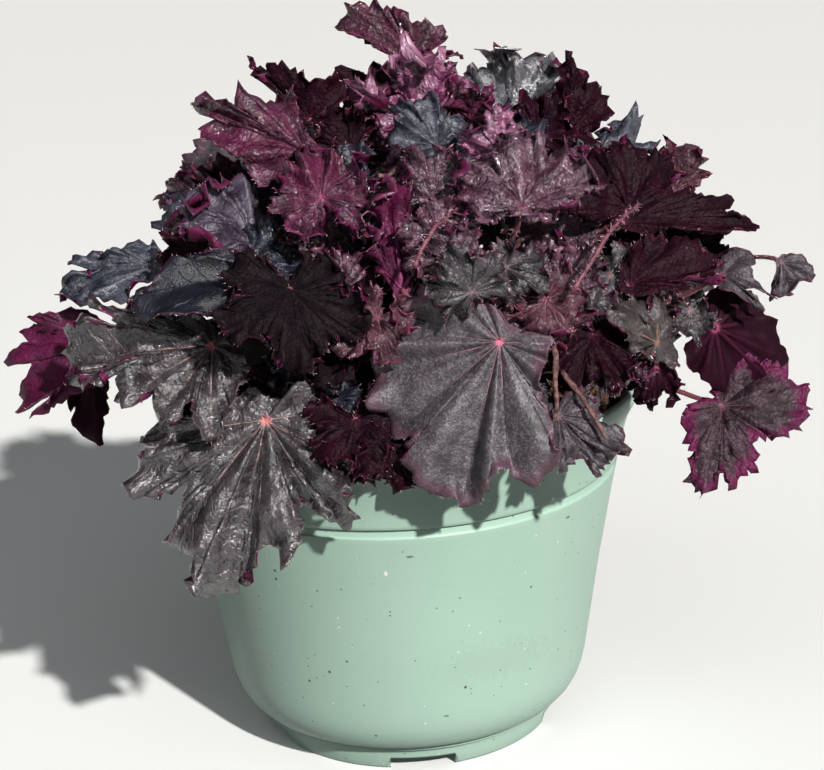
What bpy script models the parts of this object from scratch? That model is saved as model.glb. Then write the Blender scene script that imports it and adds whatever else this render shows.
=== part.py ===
"""A heuchera growing in a pale green nursery pot, at rest.

The pot's axis is the Z axis and the front of the plant looks along -Y.  The pot, its soil and the crown are
turned shapes.  Every leaf is one solid, a lobed blade on its own leaf stalk, placed from LEAVES: where the
stalk meets the blade and where the middle lobe ends, as seen in a front view, with a depth for each.
"""

import math

import bmesh
import bpy
import numpy as np
from mathutils import Matrix, Vector
from mathutils.bvhtree import BVHTree

MM = 0.001
GAP = 0.3 * MM
WELD = 0.002 * MM

# The pot, in millimetres from the ground up.
POT_STEPS = 34
POT_TOP = 146.0
POT_LIP_RADIUS = 99.0
POT_SEAM = (89.0, 114.0)
POT_CORNER = (74.0, 24.0)
POT_SKIRT = (62.0, 9.0)
POT_FOOT_RADIUS = 60.0
POT_WALL = 1.8
POT_FLOOR = 12.0
NOTCH_COUNT = 5
NOTCH_FIRST = -86.0
NOTCH_WIDTH = 26.0
NOTCH_HEIGHT = 5.0
NOTCH_DEPTH = 30.0
DRAIN_RADIUS = 5.0
DRAIN_REACH = 46.0

# The soil and the crown.
SOIL_TOP = 132.0
SOIL_CROWN_RADIUS = 21.0
SOIL_HOLE_DEPTH = 16.0
CROWN_RADIUS = 20.0
CROWN_SHOULDER = 141.0
CROWN_TOP = 163.0
CROWN_STEPS = 16
YOUNG_SINK = 6.0
STALK_AIM = 128.0

# The front view in which the leaves are placed: millimetres across and up are read through this eye.
VIEW_DISTANCE = 850.0
VIEW_PITCH = 18.05
VIEW_ROLL = -2.5
VIEW_TARGET = (6.3, 0.0, 141.6)
VIEW_FOCUS = 2086.0
VIEW_CENTRE = (412.0, 385.0)

# Blades.
BLADE_THICKNESS = 0.9
JUNCTION_RISE = 0.5
CLEARANCE = 1.1
LONG_BLADE = 54.0
STALK_SIDES = 5
STALK_RINGS = 4
POSE_TRIES = 480
SWAY_TRIES = 34
CLEAR_TRIES = 30

NOTCH_SHARE = 0.12
MOST_REACH = 1.5
LEAST_STEP = 0.025

# Outlines: lobe count, how deep the notches between lobes are, how far round the last lobe sits in degrees,
# how long that lobe is against the middle one, and how big the side teeth are.
KINDS = {
    "maple": dict(lobes=7, deep=0.40, spread=132.0, last=0.66, tooth=0.80),
    "lobed": dict(lobes=7, deep=0.26, spread=130.0, last=0.70, tooth=0.90),
    "round": dict(lobes=7, deep=0.10, spread=134.0, last=0.78, tooth=0.985),
    "ruffled": dict(lobes=7, deep=0.22, spread=136.0, last=0.76, tooth=0.93),
    "young": dict(lobes=5, deep=0.30, spread=118.0, last=0.74, tooth=0.88),
    "broad": dict(lobes=5, deep=0.20, spread=122.0, last=0.84, tooth=0.94),
}


def view_axes():
    pitch = math.radians(VIEW_PITCH)
    forward = np.array([0.0, math.cos(pitch), -math.sin(pitch)])
    up = np.array([0.0, math.sin(pitch), math.cos(pitch)])
    right = np.array([1.0, 0.0, 0.0])
    return right, up, forward


RIGHT, UP, FORWARD = view_axes()
EYE = np.array(VIEW_TARGET) - VIEW_DISTANCE * FORWARD


def from_view(across, down, depth):
    """The point, in millimetres, seen at (across, down) in the front view and lying at y = depth."""
    roll = math.radians(VIEW_ROLL)
    dx = across - VIEW_CENTRE[0]
    dy = down - VIEW_CENTRE[1]
    a = math.cos(roll) * dx + math.sin(roll) * dy
    b = -math.sin(roll) * dx + math.cos(roll) * dy
    ray = FORWARD + RIGHT * a / VIEW_FOCUS - UP * b / VIEW_FOCUS
    return EYE + ray * (depth - EYE[1]) / ray[1]


def unit(v):
    return v / np.linalg.norm(v)


class Leaf:
    """One row of LEAVES, with its outline and its place worked out."""

    def __init__(self, name, kind, joint, tip, face=(0.0, 0.3), side=1, width=1.0, droop=0.5, curl=-0.2,
                 ruffle=0.08, pleat=0.03, cup=0.0, seed=0, tone="grey", edge=None):
        self.name = name
        self.kind = KINDS[kind]
        self.joint_view = joint
        self.tip_view = tip
        self.face = face
        self.side = side
        self.width = width
        self.droop = droop
        self.curl = curl
        self.ruffle = ruffle
        self.pleat = pleat
        self.cup = cup
        self.tone = tone
        self.edge = edge
        self.shift = 0.0
        self.turn = 0.0
        self.nod = 0.0
        self.shrink = 1.0
        self.sway = (0.0, 0.0)
        self.base = None
        self.base_way = None
        self.phases = [math.tau * ((seed * k * 0.6180339887) % 1.0) for k in (1, 2, 3, 4, 5)]
        self.outline()

    def outline(self):
        """Key angles and radii round the blade, from one side of the stalk's notch to the other."""
        half = self.kind["lobes"] // 2
        step = math.radians(self.kind["spread"]) / half
        angles = []
        radii = []
        for i in range(-half, half + 1):
            share = abs(i) / half
            tip = 1.0 - (1.0 - self.kind["last"]) * share ** 1.3
            tip *= 1.0 + 0.05 * math.sin(self.phases[0] + 2.1 * i)
            side = tip * self.kind["tooth"]
            angles += [(i - 0.27) * step, i * step, (i + 0.27) * step]
            radii += [side, tip, side]
            if i < half:
                near = 1.0 - (1.0 - self.kind["last"]) * (abs(i + 0.5) / half) ** 1.3
                angles.append((i + 0.5) * step)
                radii.append(near * (1.0 - self.kind["deep"]))
        self.step = step
        end = angles[-1] + 0.22 * step
        end = min(end, math.pi - 0.16)
        angles = [-end] + angles + [end, math.pi]
        radii = [radii[0] * 0.72] + radii + [radii[-1] * 0.72, 0.11]
        self.key_angles = np.array(angles)
        self.key_radii = np.array(radii)

    def locate(self):
        """World frame of the blade, with its size, so that the bent middle lobe ends where LEAVES says."""
        joint = from_view(*self.joint_view)
        tip = from_view(*self.tip_view)
        eye_ray = unit(joint - EYE)
        joint = joint + eye_ray * self.shift
        tip = tip + eye_ray * self.shift
        chord = tip - joint
        way = unit(chord)
        towards = -eye_ray + np.array([self.face[0], 0.0, self.face[1]])
        normal = unit(towards - way * towards.dot(way)) * self.side
        normal, way = self.turned(normal, way)
        across = np.cross(normal, way)
        self.joint = joint
        end = self.bend(np.array([1.0]), np.array([0.0]), np.array([0.0]))[0]
        lean = math.atan2(end[2], end[0])
        reach = math.hypot(end[0], end[2])
        self.length = np.linalg.norm(chord) / reach * self.shrink
        if self.edge:
            self.trace_edge(way, across, normal)
        along = way * math.cos(lean) - normal * math.sin(lean)
        upward = way * math.sin(lean) + normal * math.cos(lean)
        self.frame = np.array([along, across, upward])

    def turned(self, normal, way):
        """Turns the blade about its middle lobe, then nods it about the line across it."""
        across = np.cross(way, normal)
        normal = normal * math.cos(self.turn) + across * math.sin(self.turn)
        return (normal * math.cos(self.nod) - way * math.sin(self.nod),
                way * math.cos(self.nod) + normal * math.sin(self.nod))

    def trace_edge(self, way, across, normal):
        """Carries an edge read in the front view onto the plane of the blade, with a notch for the stalk."""
        keys = []
        for point in self.edge:
            ray = from_view(point[0], point[1], 0.0) - EYE
            hit = EYE + ray * (self.joint - EYE).dot(normal) / ray.dot(normal) - self.joint
            radius = np.linalg.norm(hit) / self.length
            keys.append([math.atan2(hit.dot(across), hit.dot(way)), min(max(radius, 0.16), MOST_REACH)])
        keys.sort()
        gaps = [(keys[(i + 1) % len(keys)][0] - keys[i][0]) % math.tau for i in range(len(keys))]
        widest = gaps.index(max(gaps))
        middle = keys[widest][0] + gaps[widest] / 2
        if middle > math.pi:
            middle -= math.tau
        keys.append([middle, NOTCH_SHARE])
        keys.sort()
        for before, after in zip(keys, keys[1:]):
            after[0] = max(after[0], before[0] + LEAST_STEP)
        self.key_angles = np.array([key[0] for key in keys])
        self.key_radii = np.array([key[1] for key in keys])

    def bend(self, a, b, h):
        """Curls the flat blade: across first, then along.  All in shares of the blade's length."""
        k = self.curl if abs(self.curl) > 1e-3 else 1e-3
        s = b * k
        b2 = np.sin(s) / k - h * np.sin(s)
        h2 = (1.0 - np.cos(s)) / k + h * np.cos(s)
        k = -self.droop if abs(self.droop) > 1e-3 else -1e-3
        s = a * k
        a2 = np.sin(s) / k - h2 * np.sin(s)
        h3 = (1.0 - np.cos(s)) / k + h2 * np.cos(s)
        return np.stack([a2, b2, h3], -1)

    def height(self, angle, share, radius):
        """How far the blade stands off its own plane before it is bent, in shares of its length."""
        wave = 0.62 * np.sin(math.pi * angle / self.step + self.phases[1])
        wave = wave + 0.45 * np.sin(1.55 * math.pi * angle / self.step + self.phases[2])
        wave = wave + 0.30 * np.cos(math.tau * angle / self.step)
        h = self.ruffle * share ** 2 * wave
        h = h - self.pleat * share * np.cos(math.tau * angle / self.step)
        return h + self.cup * radius ** 2

    def surface(self, angle, share, radius_of, grow=0.0):
        """Points of the blade's middle surface, in millimetres, from the stalk (share 0) to the edge (1)."""
        inner = self.stalk_radius() / self.length
        radius = inner + (radius_of(angle) + grow / self.length - inner) * share
        a = radius * np.cos(angle)
        b = radius * np.sin(angle) * self.width
        local = self.bend(a, b, self.height(angle, share, radius))
        return self.joint + (local * self.length) @ self.frame

    def stalk_radius(self):
        return 0.75 + 0.0125 * self.length

    def shares(self):
        """How far out from the stalk the rings of points lie: more rings on a long blade."""
        if self.name.startswith("young"):
            return (1.0,)
        return (0.38, 0.7, 1.0) if self.length > LONG_BLADE and self.joint_view else (0.52, 1.0)


def bezier(p0, p1, p2, p3, t):
    t = t[:, None]
    return (1 - t) ** 3 * p0 + 3 * (1 - t) ** 2 * t * p1 + 3 * (1 - t) * t * t * p2 + t ** 3 * p3


def stalk_line(leaf, count):
    """The stalk's centre line, from under the blade down to its foot on the crown."""
    normal = leaf.frame[2]
    away = unit(-normal * 0.8 - leaf.frame[0] * 0.6)
    reach = np.linalg.norm(leaf.joint - leaf.base)
    p1 = leaf.joint + away * reach * 0.30
    p2 = leaf.base + leaf.base_way * reach * 0.38
    t = np.linspace(0.0, 1.0, count)
    line = bezier(leaf.joint, p1, p2, leaf.base, t)
    across = unit(np.cross(leaf.base - leaf.joint, np.array([0.0, 0.0, 1.0])) + np.array([1e-6, 0, 0]))
    lift = unit(np.cross(across, leaf.base - leaf.joint))
    hump = (16 * (t * (1 - t)) ** 2)[:, None]
    return line + hump * (across * leaf.sway[0] + lift * leaf.sway[1])


def loop_band(low, low_angles, high, high_angles):
    """Triangles between two closed loops of points that both run round by rising angle."""
    faces = []
    i = j = 0
    n, m = len(low), len(high)
    while i < n or j < m:
        next_low = low_angles[(i + 1) % n] + (math.tau if i + 1 >= n else 0)
        next_high = high_angles[(j + 1) % m] + (math.tau if j + 1 >= m else 0)
        if j >= m or (i < n and next_low <= next_high):
            faces.append((low[i % n], high[j % m], low[(i + 1) % n]))
            i += 1
        else:
            faces.append((low[i % n], high[j % m], high[(j + 1) % m]))
            j += 1
    return faces


def blade_part(leaf, thickness, grow):
    """Points and triangles of the blade with a small ring of holes for the stalk on its underside."""
    angles = leaf.key_angles
    radius_of = lambda a: np.interp(a, leaf.key_angles, leaf.key_radii)
    shares = leaf.shares()
    n = len(angles)
    centre = leaf.joint
    middle = np.array([leaf.surface(angles, np.full(n, s), radius_of, grow * s) for s in shares])
    around = np.roll(middle, -1, 1) - np.roll(middle, 1, 1)
    inner = np.concatenate([np.broadcast_to(centre, (1, n, 3)), middle[:-1]], 0)
    outer = np.concatenate([middle[1:], middle[-1:]], 0)
    normals = np.cross(outer - inner, around)
    normals /= np.linalg.norm(normals, axis=2, keepdims=True)
    half = thickness / 2
    up = leaf.frame[2]
    count = len(shares)
    points = [centre + up * (half + JUNCTION_RISE)]
    points += list((middle + normals * half).reshape(-1, 3))
    first_bottom = len(points)
    points += list((middle - normals * half).reshape(-1, 3))
    first_ring = len(points)
    radius = leaf.stalk_radius() * 0.9
    turn = -math.pi + math.tau * (np.arange(STALK_SIDES) + 0.5) / STALK_SIDES
    points += [centre - up * half + radius * (leaf.frame[0] * math.cos(a) + leaf.frame[1] * math.sin(a))
               for a in turn]

    def at_top(r, i):
        return 1 + r * n + i % n

    def at_bottom(r, i):
        return first_bottom + r * n + i % n

    faces = [(0, at_top(0, i), at_top(0, i + 1)) for i in range(n)]
    for r in range(count - 1):
        for i in range(n):
            a, b, c, d = at_top(r, i), at_top(r + 1, i), at_top(r + 1, i + 1), at_top(r, i + 1)
            faces += [(a, b, c), (a, c, d)]
            a, b, c, d = at_bottom(r, i), at_bottom(r + 1, i), at_bottom(r + 1, i + 1), at_bottom(r, i + 1)
            faces += [(a, c, b), (a, d, c)]
    last = count - 1
    for i in range(n):
        faces.append((at_top(last, i), at_bottom(last, i), at_bottom(last, i + 1)))
        faces.append((at_top(last, i), at_bottom(last, i + 1), at_top(last, i + 1)))
    low = [first_ring + i for i in range(STALK_SIDES)]
    high = [at_bottom(0, i) for i in range(n)]
    faces += [(a, c, b) for a, b, c in loop_band(low, list(turn), high, list(angles))]
    return points, faces


def stalk_part(leaf, grow, first):
    """Points and triangles of the stalk below its first ring, whose points start at index first."""
    line = stalk_line(leaf, STALK_RINGS)
    turn = -math.pi + math.tau * (np.arange(STALK_SIDES) + 0.5) / STALK_SIDES
    x_axis = leaf.frame[0]
    points = []
    end = STALK_RINGS - 1
    for k in range(1, STALK_RINGS):
        way = unit(line[min(k + 1, end)] - line[k - 1]) if k < end else -leaf.base_way
        x_axis = unit(x_axis - way * x_axis.dot(way))
        y_axis = np.cross(x_axis, way)
        wide = leaf.stalk_radius() * (1.0 + 0.35 * (k / end) ** 2) + grow
        points += [line[k] + wide * (x_axis * math.cos(a) + y_axis * math.sin(a)) for a in turn]

    def at(k, i):
        return first + k * STALK_SIDES + i % STALK_SIDES

    faces = []
    for k in range(end):
        for i in range(STALK_SIDES):
            a, b, c, d = at(k, i), at(k + 1, i), at(k + 1, i + 1), at(k, i + 1)
            faces += [(a, b, c), (a, c, d)]
    faces += [(at(end, 0), at(end, i + 1), at(end, i)) for i in range(1, STALK_SIDES - 1)]
    return points, faces


def leaf_mesh(leaf):
    """One leaf, blade and stalk, as one closed solid in millimetres."""
    points, faces = blade_part(leaf, BLADE_THICKNESS, 0.0)
    more, more_faces = stalk_part(leaf, 0.0, len(points) - STALK_SIDES)
    return np.array(points + more), faces + more_faces


# Across and down are read in the front view; the third number is the depth, y in millimetres.  An edge lists
# points round a blade whose whole outline shows, in the same view; the others take the outline of their kind.
LEAVES = [
    # Low on the front and at the left.
    Leaf("leaf_front_left", "maple", (266, 420, -90), (228, 600, -104), (-0.1, 0.3), seed=1, ruffle=0.03,
         droop=0.3, curl=-0.3, pleat=0.04, tone="slate",
         edge=((282, 398), (300, 380), (314, 396), (320, 412), (316, 436), (345, 457), (368, 478),
               (341, 487), (357, 515), (343, 531), (318, 512), (300, 484), (303, 520), (293, 558),
               (262, 543), (255, 575), (245, 583), (228, 600), (203, 588), (196, 550), (168, 545),
               (177, 518), (187, 487), (150, 495), (137, 492), (133, 474), (149, 449), (140, 437),
               (160, 422), (200, 412), (232, 398), (252, 386))),
    Leaf("leaf_front_round", "round", (500, 342, -98), (448, 500, -110), (-0.15, 0.3), seed=2,
         ruffle=0.025, droop=0.25, curl=-0.25, pleat=0.03, tone="plum",
         edge=((498, 310), (482, 299), (460, 306), (440, 283), (420, 281), (419, 300), (390, 314),
               (392, 334), (375, 358), (372, 384), (378, 416), (398, 438), (419, 441), (408, 460),
               (424, 481), (446, 500), (463, 506), (490, 490), (495, 470), (520, 478), (538, 486),
               (556, 462), (555, 440), (543, 405), (541, 378), (548, 354), (552, 337))),
    Leaf("leaf_left_upper", "maple", (212, 346, -80), (66, 364, -74), (-0.15, 0.7), seed=3, ruffle=0.03,
         droop=0.5, curl=-0.3, tone="slate",
         edge=((203, 318), (180, 318), (144, 320), (122, 333), (112, 321), (98, 318), (82, 328),
               (66, 342), (64, 358), (63, 372), (70, 383), (90, 376), (97, 390), (107, 384), (114, 370),
               (142, 364), (124, 382), (121, 404), (135, 412), (158, 403), (162, 426), (180, 419),
               (190, 402), (194, 424), (210, 437), (224, 422), (234, 396), (246, 372), (243, 350),
               (240, 330))),
    Leaf("leaf_front_low_right", "lobed", (558, 416, -101), (604, 466, -104), (0.3, 0.3), seed=4,
         ruffle=0.05, tone="plum",
         edge=((545, 428), (550, 448), (563, 478), (568, 466), (578, 454), (592, 478), (600, 466),
               (612, 470), (606, 457), (622, 458), (624, 444), (614, 431), (604, 420), (600, 404),
               (588, 394), (572, 392))),
    Leaf("leaf_left_magenta", "lobed", (116, 345, -42), (4, 362, -34), (-0.2, 0.3), seed=5, side=-1,
         ruffle=0.05, droop=-0.4, curl=0.3, tone="magenta",
         edge=((104, 320), (72, 306), (56, 315), (40, 324), (27, 318), (13, 330), (28, 340), (4, 348),
               (2, 362), (10, 369), (34, 364), (10, 386), (13, 403), (20, 418), (31, 420), (46, 402),
               (64, 389), (90, 386), (112, 372))),
    Leaf("leaf_left_hanging", "lobed", (92, 372, -36), (98, 446, -42), (-0.3, 0.2), seed=6, side=-1,
         ruffle=0.04, tone="maroon",
         edge=((76, 378), (66, 386), (75, 405), (68, 413), (71, 427), (82, 437), (102, 446), (101, 419),
               (108, 414), (105, 400), (109, 384))),
    Leaf("leaf_left_blue", "lobed", (152, 266, -36), (54, 290, -30), (-0.1, 0.9), seed=7, ruffle=0.04,
         droop=0.5, tone="navy",
         edge=((158, 244), (140, 242), (130, 250), (118, 256), (102, 268), (86, 263), (74, 268),
               (63, 279), (53, 290), (62, 296), (73, 293), (68, 304), (82, 308), (102, 306), (118, 299),
               (140, 290))),
    Leaf("leaf_left_curled", "lobed", (218, 220, -14), (150, 218, -6), (-0.1, 1.0), seed=8, ruffle=0.05,
         droop=0.7, tone="navy",
         edge=((212, 206), (195, 199), (180, 201), (164, 206), (155, 213), (149, 222), (166, 227),
               (186, 226), (206, 228))),
    Leaf("leaf_left_ruffled", "ruffled", (262, 246, -50), (172, 230, -66), (-0.1, 1.0), seed=9,
         ruffle=0.12, droop=0.5, tone="grey"),
    Leaf("leaf_left_navy", "ruffled", (276, 276, -72), (138, 302, -78), (-0.1, 1.1), seed=10, ruffle=0.03,
         droop=0.5, curl=-0.4, tone="navy",
         edge=((262, 262), (232, 260), (200, 264), (166, 272), (144, 290), (130, 310), (146, 318),
               (172, 322), (200, 321), (222, 312), (246, 300), (264, 292))),
    Leaf("leaf_left_fringed", "young", (290, 290, -82), (302, 378, -104), (0.1, 0.5), seed=11,
         ruffle=0.10, tone="maroon"),
    Leaf("leaf_low_shaded", "lobed", (352, 392, -72), (386, 486, -88), (0.2, 0.2), seed=12, ruffle=0.06,
         tone="maroon"),
    Leaf("leaf_front_pinkish", "young", (378, 318, -90), (338, 356, -96), (-0.2, 0.5), seed=13,
         ruffle=0.12, tone="pink"),
    # Upper left.
    Leaf("leaf_upper_left", "maple", (306, 152, -36), (196, 116, -24), (-0.25, 0.35), seed=14,
         ruffle=0.04, droop=0.3, tone="magenta",
         edge=((303, 128), (297, 92), (286, 94), (272, 101), (255, 100), (240, 91), (237, 100),
               (243, 113), (226, 104), (213, 98), (200, 104), (190, 105), (216, 120), (206, 122),
               (198, 134), (214, 145), (236, 159), (250, 168), (257, 188), (280, 180), (300, 188),
               (314, 184))),
    Leaf("leaf_upper_left_low", "ruffled", (322, 198, -48), (312, 148, -24), (-0.2, 0.3), seed=15,
         ruffle=0.08, width=0.9, tone="magenta"),
    Leaf("leaf_upper_left_back", "lobed", (308, 118, 0), (247, 52, 6), (-0.2, 0.1), seed=16, ruffle=0.04,
         tone="maroon",
         edge=((346, 96), (342, 78), (320, 78), (304, 75), (294, 69), (284, 65), (268, 60), (262, 68),
               (245, 50), (258, 72), (272, 92), (288, 100), (298, 120))),
    Leaf("leaf_left_small_dark", "young", (246, 214, -18), (210, 172, 8), (-0.2, 0.4), seed=17,
         ruffle=0.08, tone="maroon"),
    Leaf("leaf_left_small_red", "young", (214, 206, 8), (164, 190, 26), (-0.2, 0.4), seed=18, ruffle=0.08,
         tone="magenta"),
    # Top.
    Leaf("leaf_top", "lobed", (412, 60, -2), (386, 8, 8), (0.0, 0.5), seed=19, ruffle=0.03, droop=0.4,
         tone="maroon",
         edge=((396, 52), (370, 42), (344, 26), (329, 18), (330, 6), (352, 4), (372, 3), (392, 10),
               (404, 20), (420, 24), (436, 26), (450, 38), (467, 55), (448, 58), (430, 56))),
    Leaf("leaf_top_bright", "ruffled", (418, 122, -20), (404, 48, -38), (0.1, 0.3), seed=20, ruffle=0.10,
         side=-1, width=0.75, tone="magenta"),
    Leaf("leaf_top_bright_right", "ruffled", (446, 120, -20), (450, 64, -12), (0.2, 0.1), seed=52,
         ruffle=0.10, width=0.6, tone="magenta"),
    Leaf("leaf_top_left", "ruffled", (374, 122, -16), (362, 72, 10), (-0.2, 0.3), seed=21, ruffle=0.12,
         tone="maroon"),
    Leaf("leaf_top_grey", "lobed", (438, 146, -46), (392, 100, -42), (-0.1, 0.5), seed=22, ruffle=0.05,
         width=0.7, tone="navy"),
    Leaf("leaf_top_silver", "ruffled", (506, 132, -18), (500, 64, 18), (0.1, 0.8), seed=23, ruffle=0.10,
         width=1.2, tone="silver"),
    Leaf("leaf_top_blue", "young", (506, 146, -40), (550, 124, -34), (0.2, 0.9), seed=24, ruffle=0.06,
         tone="navy"),
    Leaf("leaf_top_crimson", "young", (498, 152, -54), (496, 106, -52), (0.0, 0.1), seed=25, ruffle=0.12,
         side=-1, tone="magenta"),
    # Upper right.
    Leaf("leaf_upper_right", "lobed", (566, 136, -14), (582, 58, -4), (0.2, 0.1), seed=26, ruffle=0.05,
         tone="maroon",
         edge=((556, 118), (554, 96), (562, 80), (567, 55), (578, 67), (590, 82), (606, 90), (611, 106),
               (600, 121), (586, 132))),
    Leaf("leaf_upper_right_grey", "ruffled", (592, 168, -20), (648, 130, -10), (0.2, 0.7), seed=27,
         ruffle=0.05, tone="grey",
         edge=((598, 150), (604, 136), (616, 125), (632, 122), (646, 130), (656, 146), (650, 162),
               (632, 168), (612, 174))),
    Leaf("leaf_upper_right_dark", "lobed", (628, 210, -32), (668, 158, -6), (0.4, 0.3), seed=28,
         ruffle=0.08, tone="maroon"),
    Leaf("leaf_upper_right_pink", "ruffled", (672, 192, 0), (684, 138, 8), (0.3, 0.0), seed=29,
         ruffle=0.08, tone="pink",
         edge=((660, 172), (660, 158), (664, 143), (674, 142), (685, 137), (691, 146), (698, 152),
               (702, 178), (694, 189))),
    Leaf("leaf_right_pointed", "lobed", (626, 222, -44), (764, 222, -36), (0.0, 0.7), seed=30,
         ruffle=0.03, droop=0.3, tone="maroon",
         edge=((640, 208), (660, 202), (682, 200), (704, 204), (732, 206), (724, 214), (742, 218),
               (765, 222), (750, 231), (726, 237), (704, 236), (686, 232), (660, 234), (640, 232))),
    # Middle of the front.
    Leaf("leaf_middle_folded", "ruffled", (522, 206, -72), (542, 138, -52), (0.0, 0.7), seed=31,
         ruffle=0.06, tone="mauve",
         edge=((468, 212), (454, 192), (452, 168), (468, 149), (488, 152), (502, 138), (530, 136),
               (545, 146), (562, 148), (586, 164), (603, 176), (596, 194), (580, 200), (576, 214),
               (552, 214))),
    Leaf("leaf_middle_upright", "ruffled", (402, 290, -76), (396, 170, -62), (0.4, 0.0), seed=32,
         ruffle=0.06, side=-1, tone="magenta",
         edge=((388, 280), (378, 262), (385, 242), (374, 220), (379, 198), (384, 180), (396, 169),
               (408, 182), (414, 200), (412, 218), (424, 238), (418, 262), (412, 280))),
    Leaf("leaf_middle_navy", "lobed", (360, 252, -54), (356, 140, -44), (-0.3, 0.1), seed=33, ruffle=0.04,
         tone="navy",
         edge=((346, 240), (337, 216), (343, 192), (335, 166), (345, 146), (358, 138), (370, 150),
               (379, 170), (371, 194), (378, 216), (372, 242))),
    Leaf("leaf_middle_grey", "young", (472, 292, -98), (448, 242, -96), (-0.2, 0.5), seed=34, ruffle=0.06,
         tone="grey"),
    Leaf("leaf_middle_toothed", "young", (506, 268, -84), (554, 292, -92), (0.1, 0.7), seed=35,
         ruffle=0.05, width=0.8, tone="slate"),
    Leaf("leaf_middle_small", "young", (524, 312, -86), (568, 344, -92), (0.2, 0.4), seed=36, ruffle=0.08,
         tone="pink"),
    Leaf("leaf_middle_mauve", "ruffled", (432, 200, -58), (450, 140, -50), (0.0, 0.2), seed=37,
         ruffle=0.10, width=0.8, tone="mauve"),
    # Right.
    Leaf("leaf_right_grey", "lobed", (630, 284, -76), (722, 266, -66), (0.1, 0.7), seed=38, ruffle=0.05,
         tone="grey",
         edge=((622, 262), (632, 246), (650, 240), (668, 246), (690, 244), (706, 255), (722, 270),
               (723, 286), (706, 283), (692, 292), (676, 286), (660, 294), (644, 298))),
    Leaf("leaf_right_olive", "lobed", (657, 343, -80), (606, 318, -86), (0.0, 0.5), seed=39, ruffle=0.05,
         tone="olive",
         edge=((682, 322), (680, 345), (681, 362), (664, 363), (646, 358), (628, 346), (614, 330),
               (604, 318), (612, 308), (626, 300), (640, 306), (652, 298), (670, 306))),
    Leaf("leaf_right_shaded", "lobed", (590, 322, -54), (626, 386, -74), (0.2, 0.5), seed=46, ruffle=0.05,
         width=0.9, tone="maroon"),
    Leaf("leaf_left_shaded", "lobed", (316, 330, -50), (330, 398, -62), (0.0, 0.3), seed=47, ruffle=0.05,
         width=0.9, tone="navy"),
    Leaf("leaf_right_lobe", "young", (690, 310, -68), (698, 346, -72), (0.2, 0.6), seed=40, ruffle=0.05,
         width=0.7, tone="grey"),
    Leaf("leaf_right_under", "young", (656, 364, -76), (668, 404, -82), (0.2, 0.3), seed=41, side=-1,
         ruffle=0.04, tone="maroon",
         edge=((642, 366), (640, 394), (648, 405), (656, 394), (666, 391), (680, 402), (679, 388),
               (686, 385), (674, 370))),
    Leaf("leaf_right_round", "round", (714, 328, -42), (770, 396, -40), (0.2, 0.25), seed=42, side=-1,
         droop=-0.5, curl=0.4, ruffle=0.02, tone="plumback",
         edge=((706, 300), (722, 284), (742, 286), (760, 302), (776, 322), (786, 342), (789, 362),
               (783, 384), (770, 398), (748, 402), (726, 402), (710, 384), (692, 372), (686, 350),
               (698, 334))),
    Leaf("leaf_right_curled", "lobed", (781, 262, -26), (790, 302, -30), (0.2, 0.4), seed=43, ruffle=0.04,
         droop=0.7, tone="grey",
         edge=((782, 254), (795, 253), (806, 258), (813, 272), (812, 285), (800, 287), (790, 300),
               (777, 305), (768, 302), (775, 289), (776, 272))),
    Leaf("leaf_right_fold", "lobed", (722, 274, -40), (768, 290, -44), (0.1, 0.8), seed=44, ruffle=0.04,
         droop=0.7, tone="grey",
         edge=((716, 260), (734, 250), (750, 254), (756, 262), (750, 274), (766, 290), (774, 300),
               (766, 312), (754, 300), (742, 289), (732, 294), (720, 290))),
    Leaf("leaf_right_low", "maple", (722, 406, -48), (772, 446, -56), (0.1, 0.35), seed=45, ruffle=0.03,
         droop=0.3, tone="mauve",
         edge=((720, 420), (712, 440), (698, 457), (692, 472), (695, 487), (708, 480), (706, 501),
               (730, 492), (730, 476), (750, 470), (752, 452), (748, 441), (764, 434), (786, 434),
               (788, 416), (804, 421), (820, 405), (806, 408), (813, 385), (798, 383), (778, 393),
               (758, 400), (738, 402))),
]


# Young leaves that grow straight out of the crown and are one piece with it.
YOUNG = [
    Leaf("young_1", "young", (398, 226, -40), (384, 160, -30), (-0.2, 0.4), seed=71, ruffle=0.08,
         tone="mauve"),
    Leaf("young_2", "young", (440, 246, -58), (436, 186, -52), (0.1, 0.4), seed=72, ruffle=0.08,
         tone="mauve"),
    Leaf("young_3", "young", (352, 236, -36), (318, 208, -32), (-0.2, 0.5), seed=73, ruffle=0.08,
         tone="mauve"),
    Leaf("young_4", "young", (556, 300, -64), (596, 246, -52), (0.3, 0.5), seed=74, ruffle=0.08,
         tone="mauve"),
    Leaf("young_5", "young", (474, 160, -16), (470, 108, -8), (0.1, 0.4), seed=75, ruffle=0.08,
         tone="mauve"),
    Leaf("young_6", "young", (340, 290, -50), (316, 246, -44), (-0.2, 0.5), seed=76, ruffle=0.08,
         tone="mauve"),
    Leaf("young_7", "young", (590, 250, -20), (600, 206, -6), (0.2, 0.5), seed=77, ruffle=0.08,
         tone="mauve"),
    Leaf("young_8", "young", (436, 170, 30), (400, 128, 40), (-0.1, 0.4), seed=78, ruffle=0.08,
         tone="mauve"),
    Leaf("young_9", "young", (610, 230, 30), (650, 196, 40), (0.2, 0.6), seed=79, ruffle=0.08,
         tone="mauve"),
    Leaf("young_10", "young", (280, 250, 10), (240, 214, 20), (-0.2, 0.6), seed=80, ruffle=0.08,
         tone="mauve"),
]


# The leaves behind and at the sides stand by rule.
BACK_COUNT = 9
BACK_FIRST = 8.0
BACK_SWEEP = 164.0
# How far out and how high the stalk ends, the blade's length, and how much it rises outwards, for each tier.
BACK_TIERS = ((80.0, 160.0, 56.0, 0.30), (52.0, 214.0, 50.0, 0.75), (68.0, 188.0, 54.0, 0.50))
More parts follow.
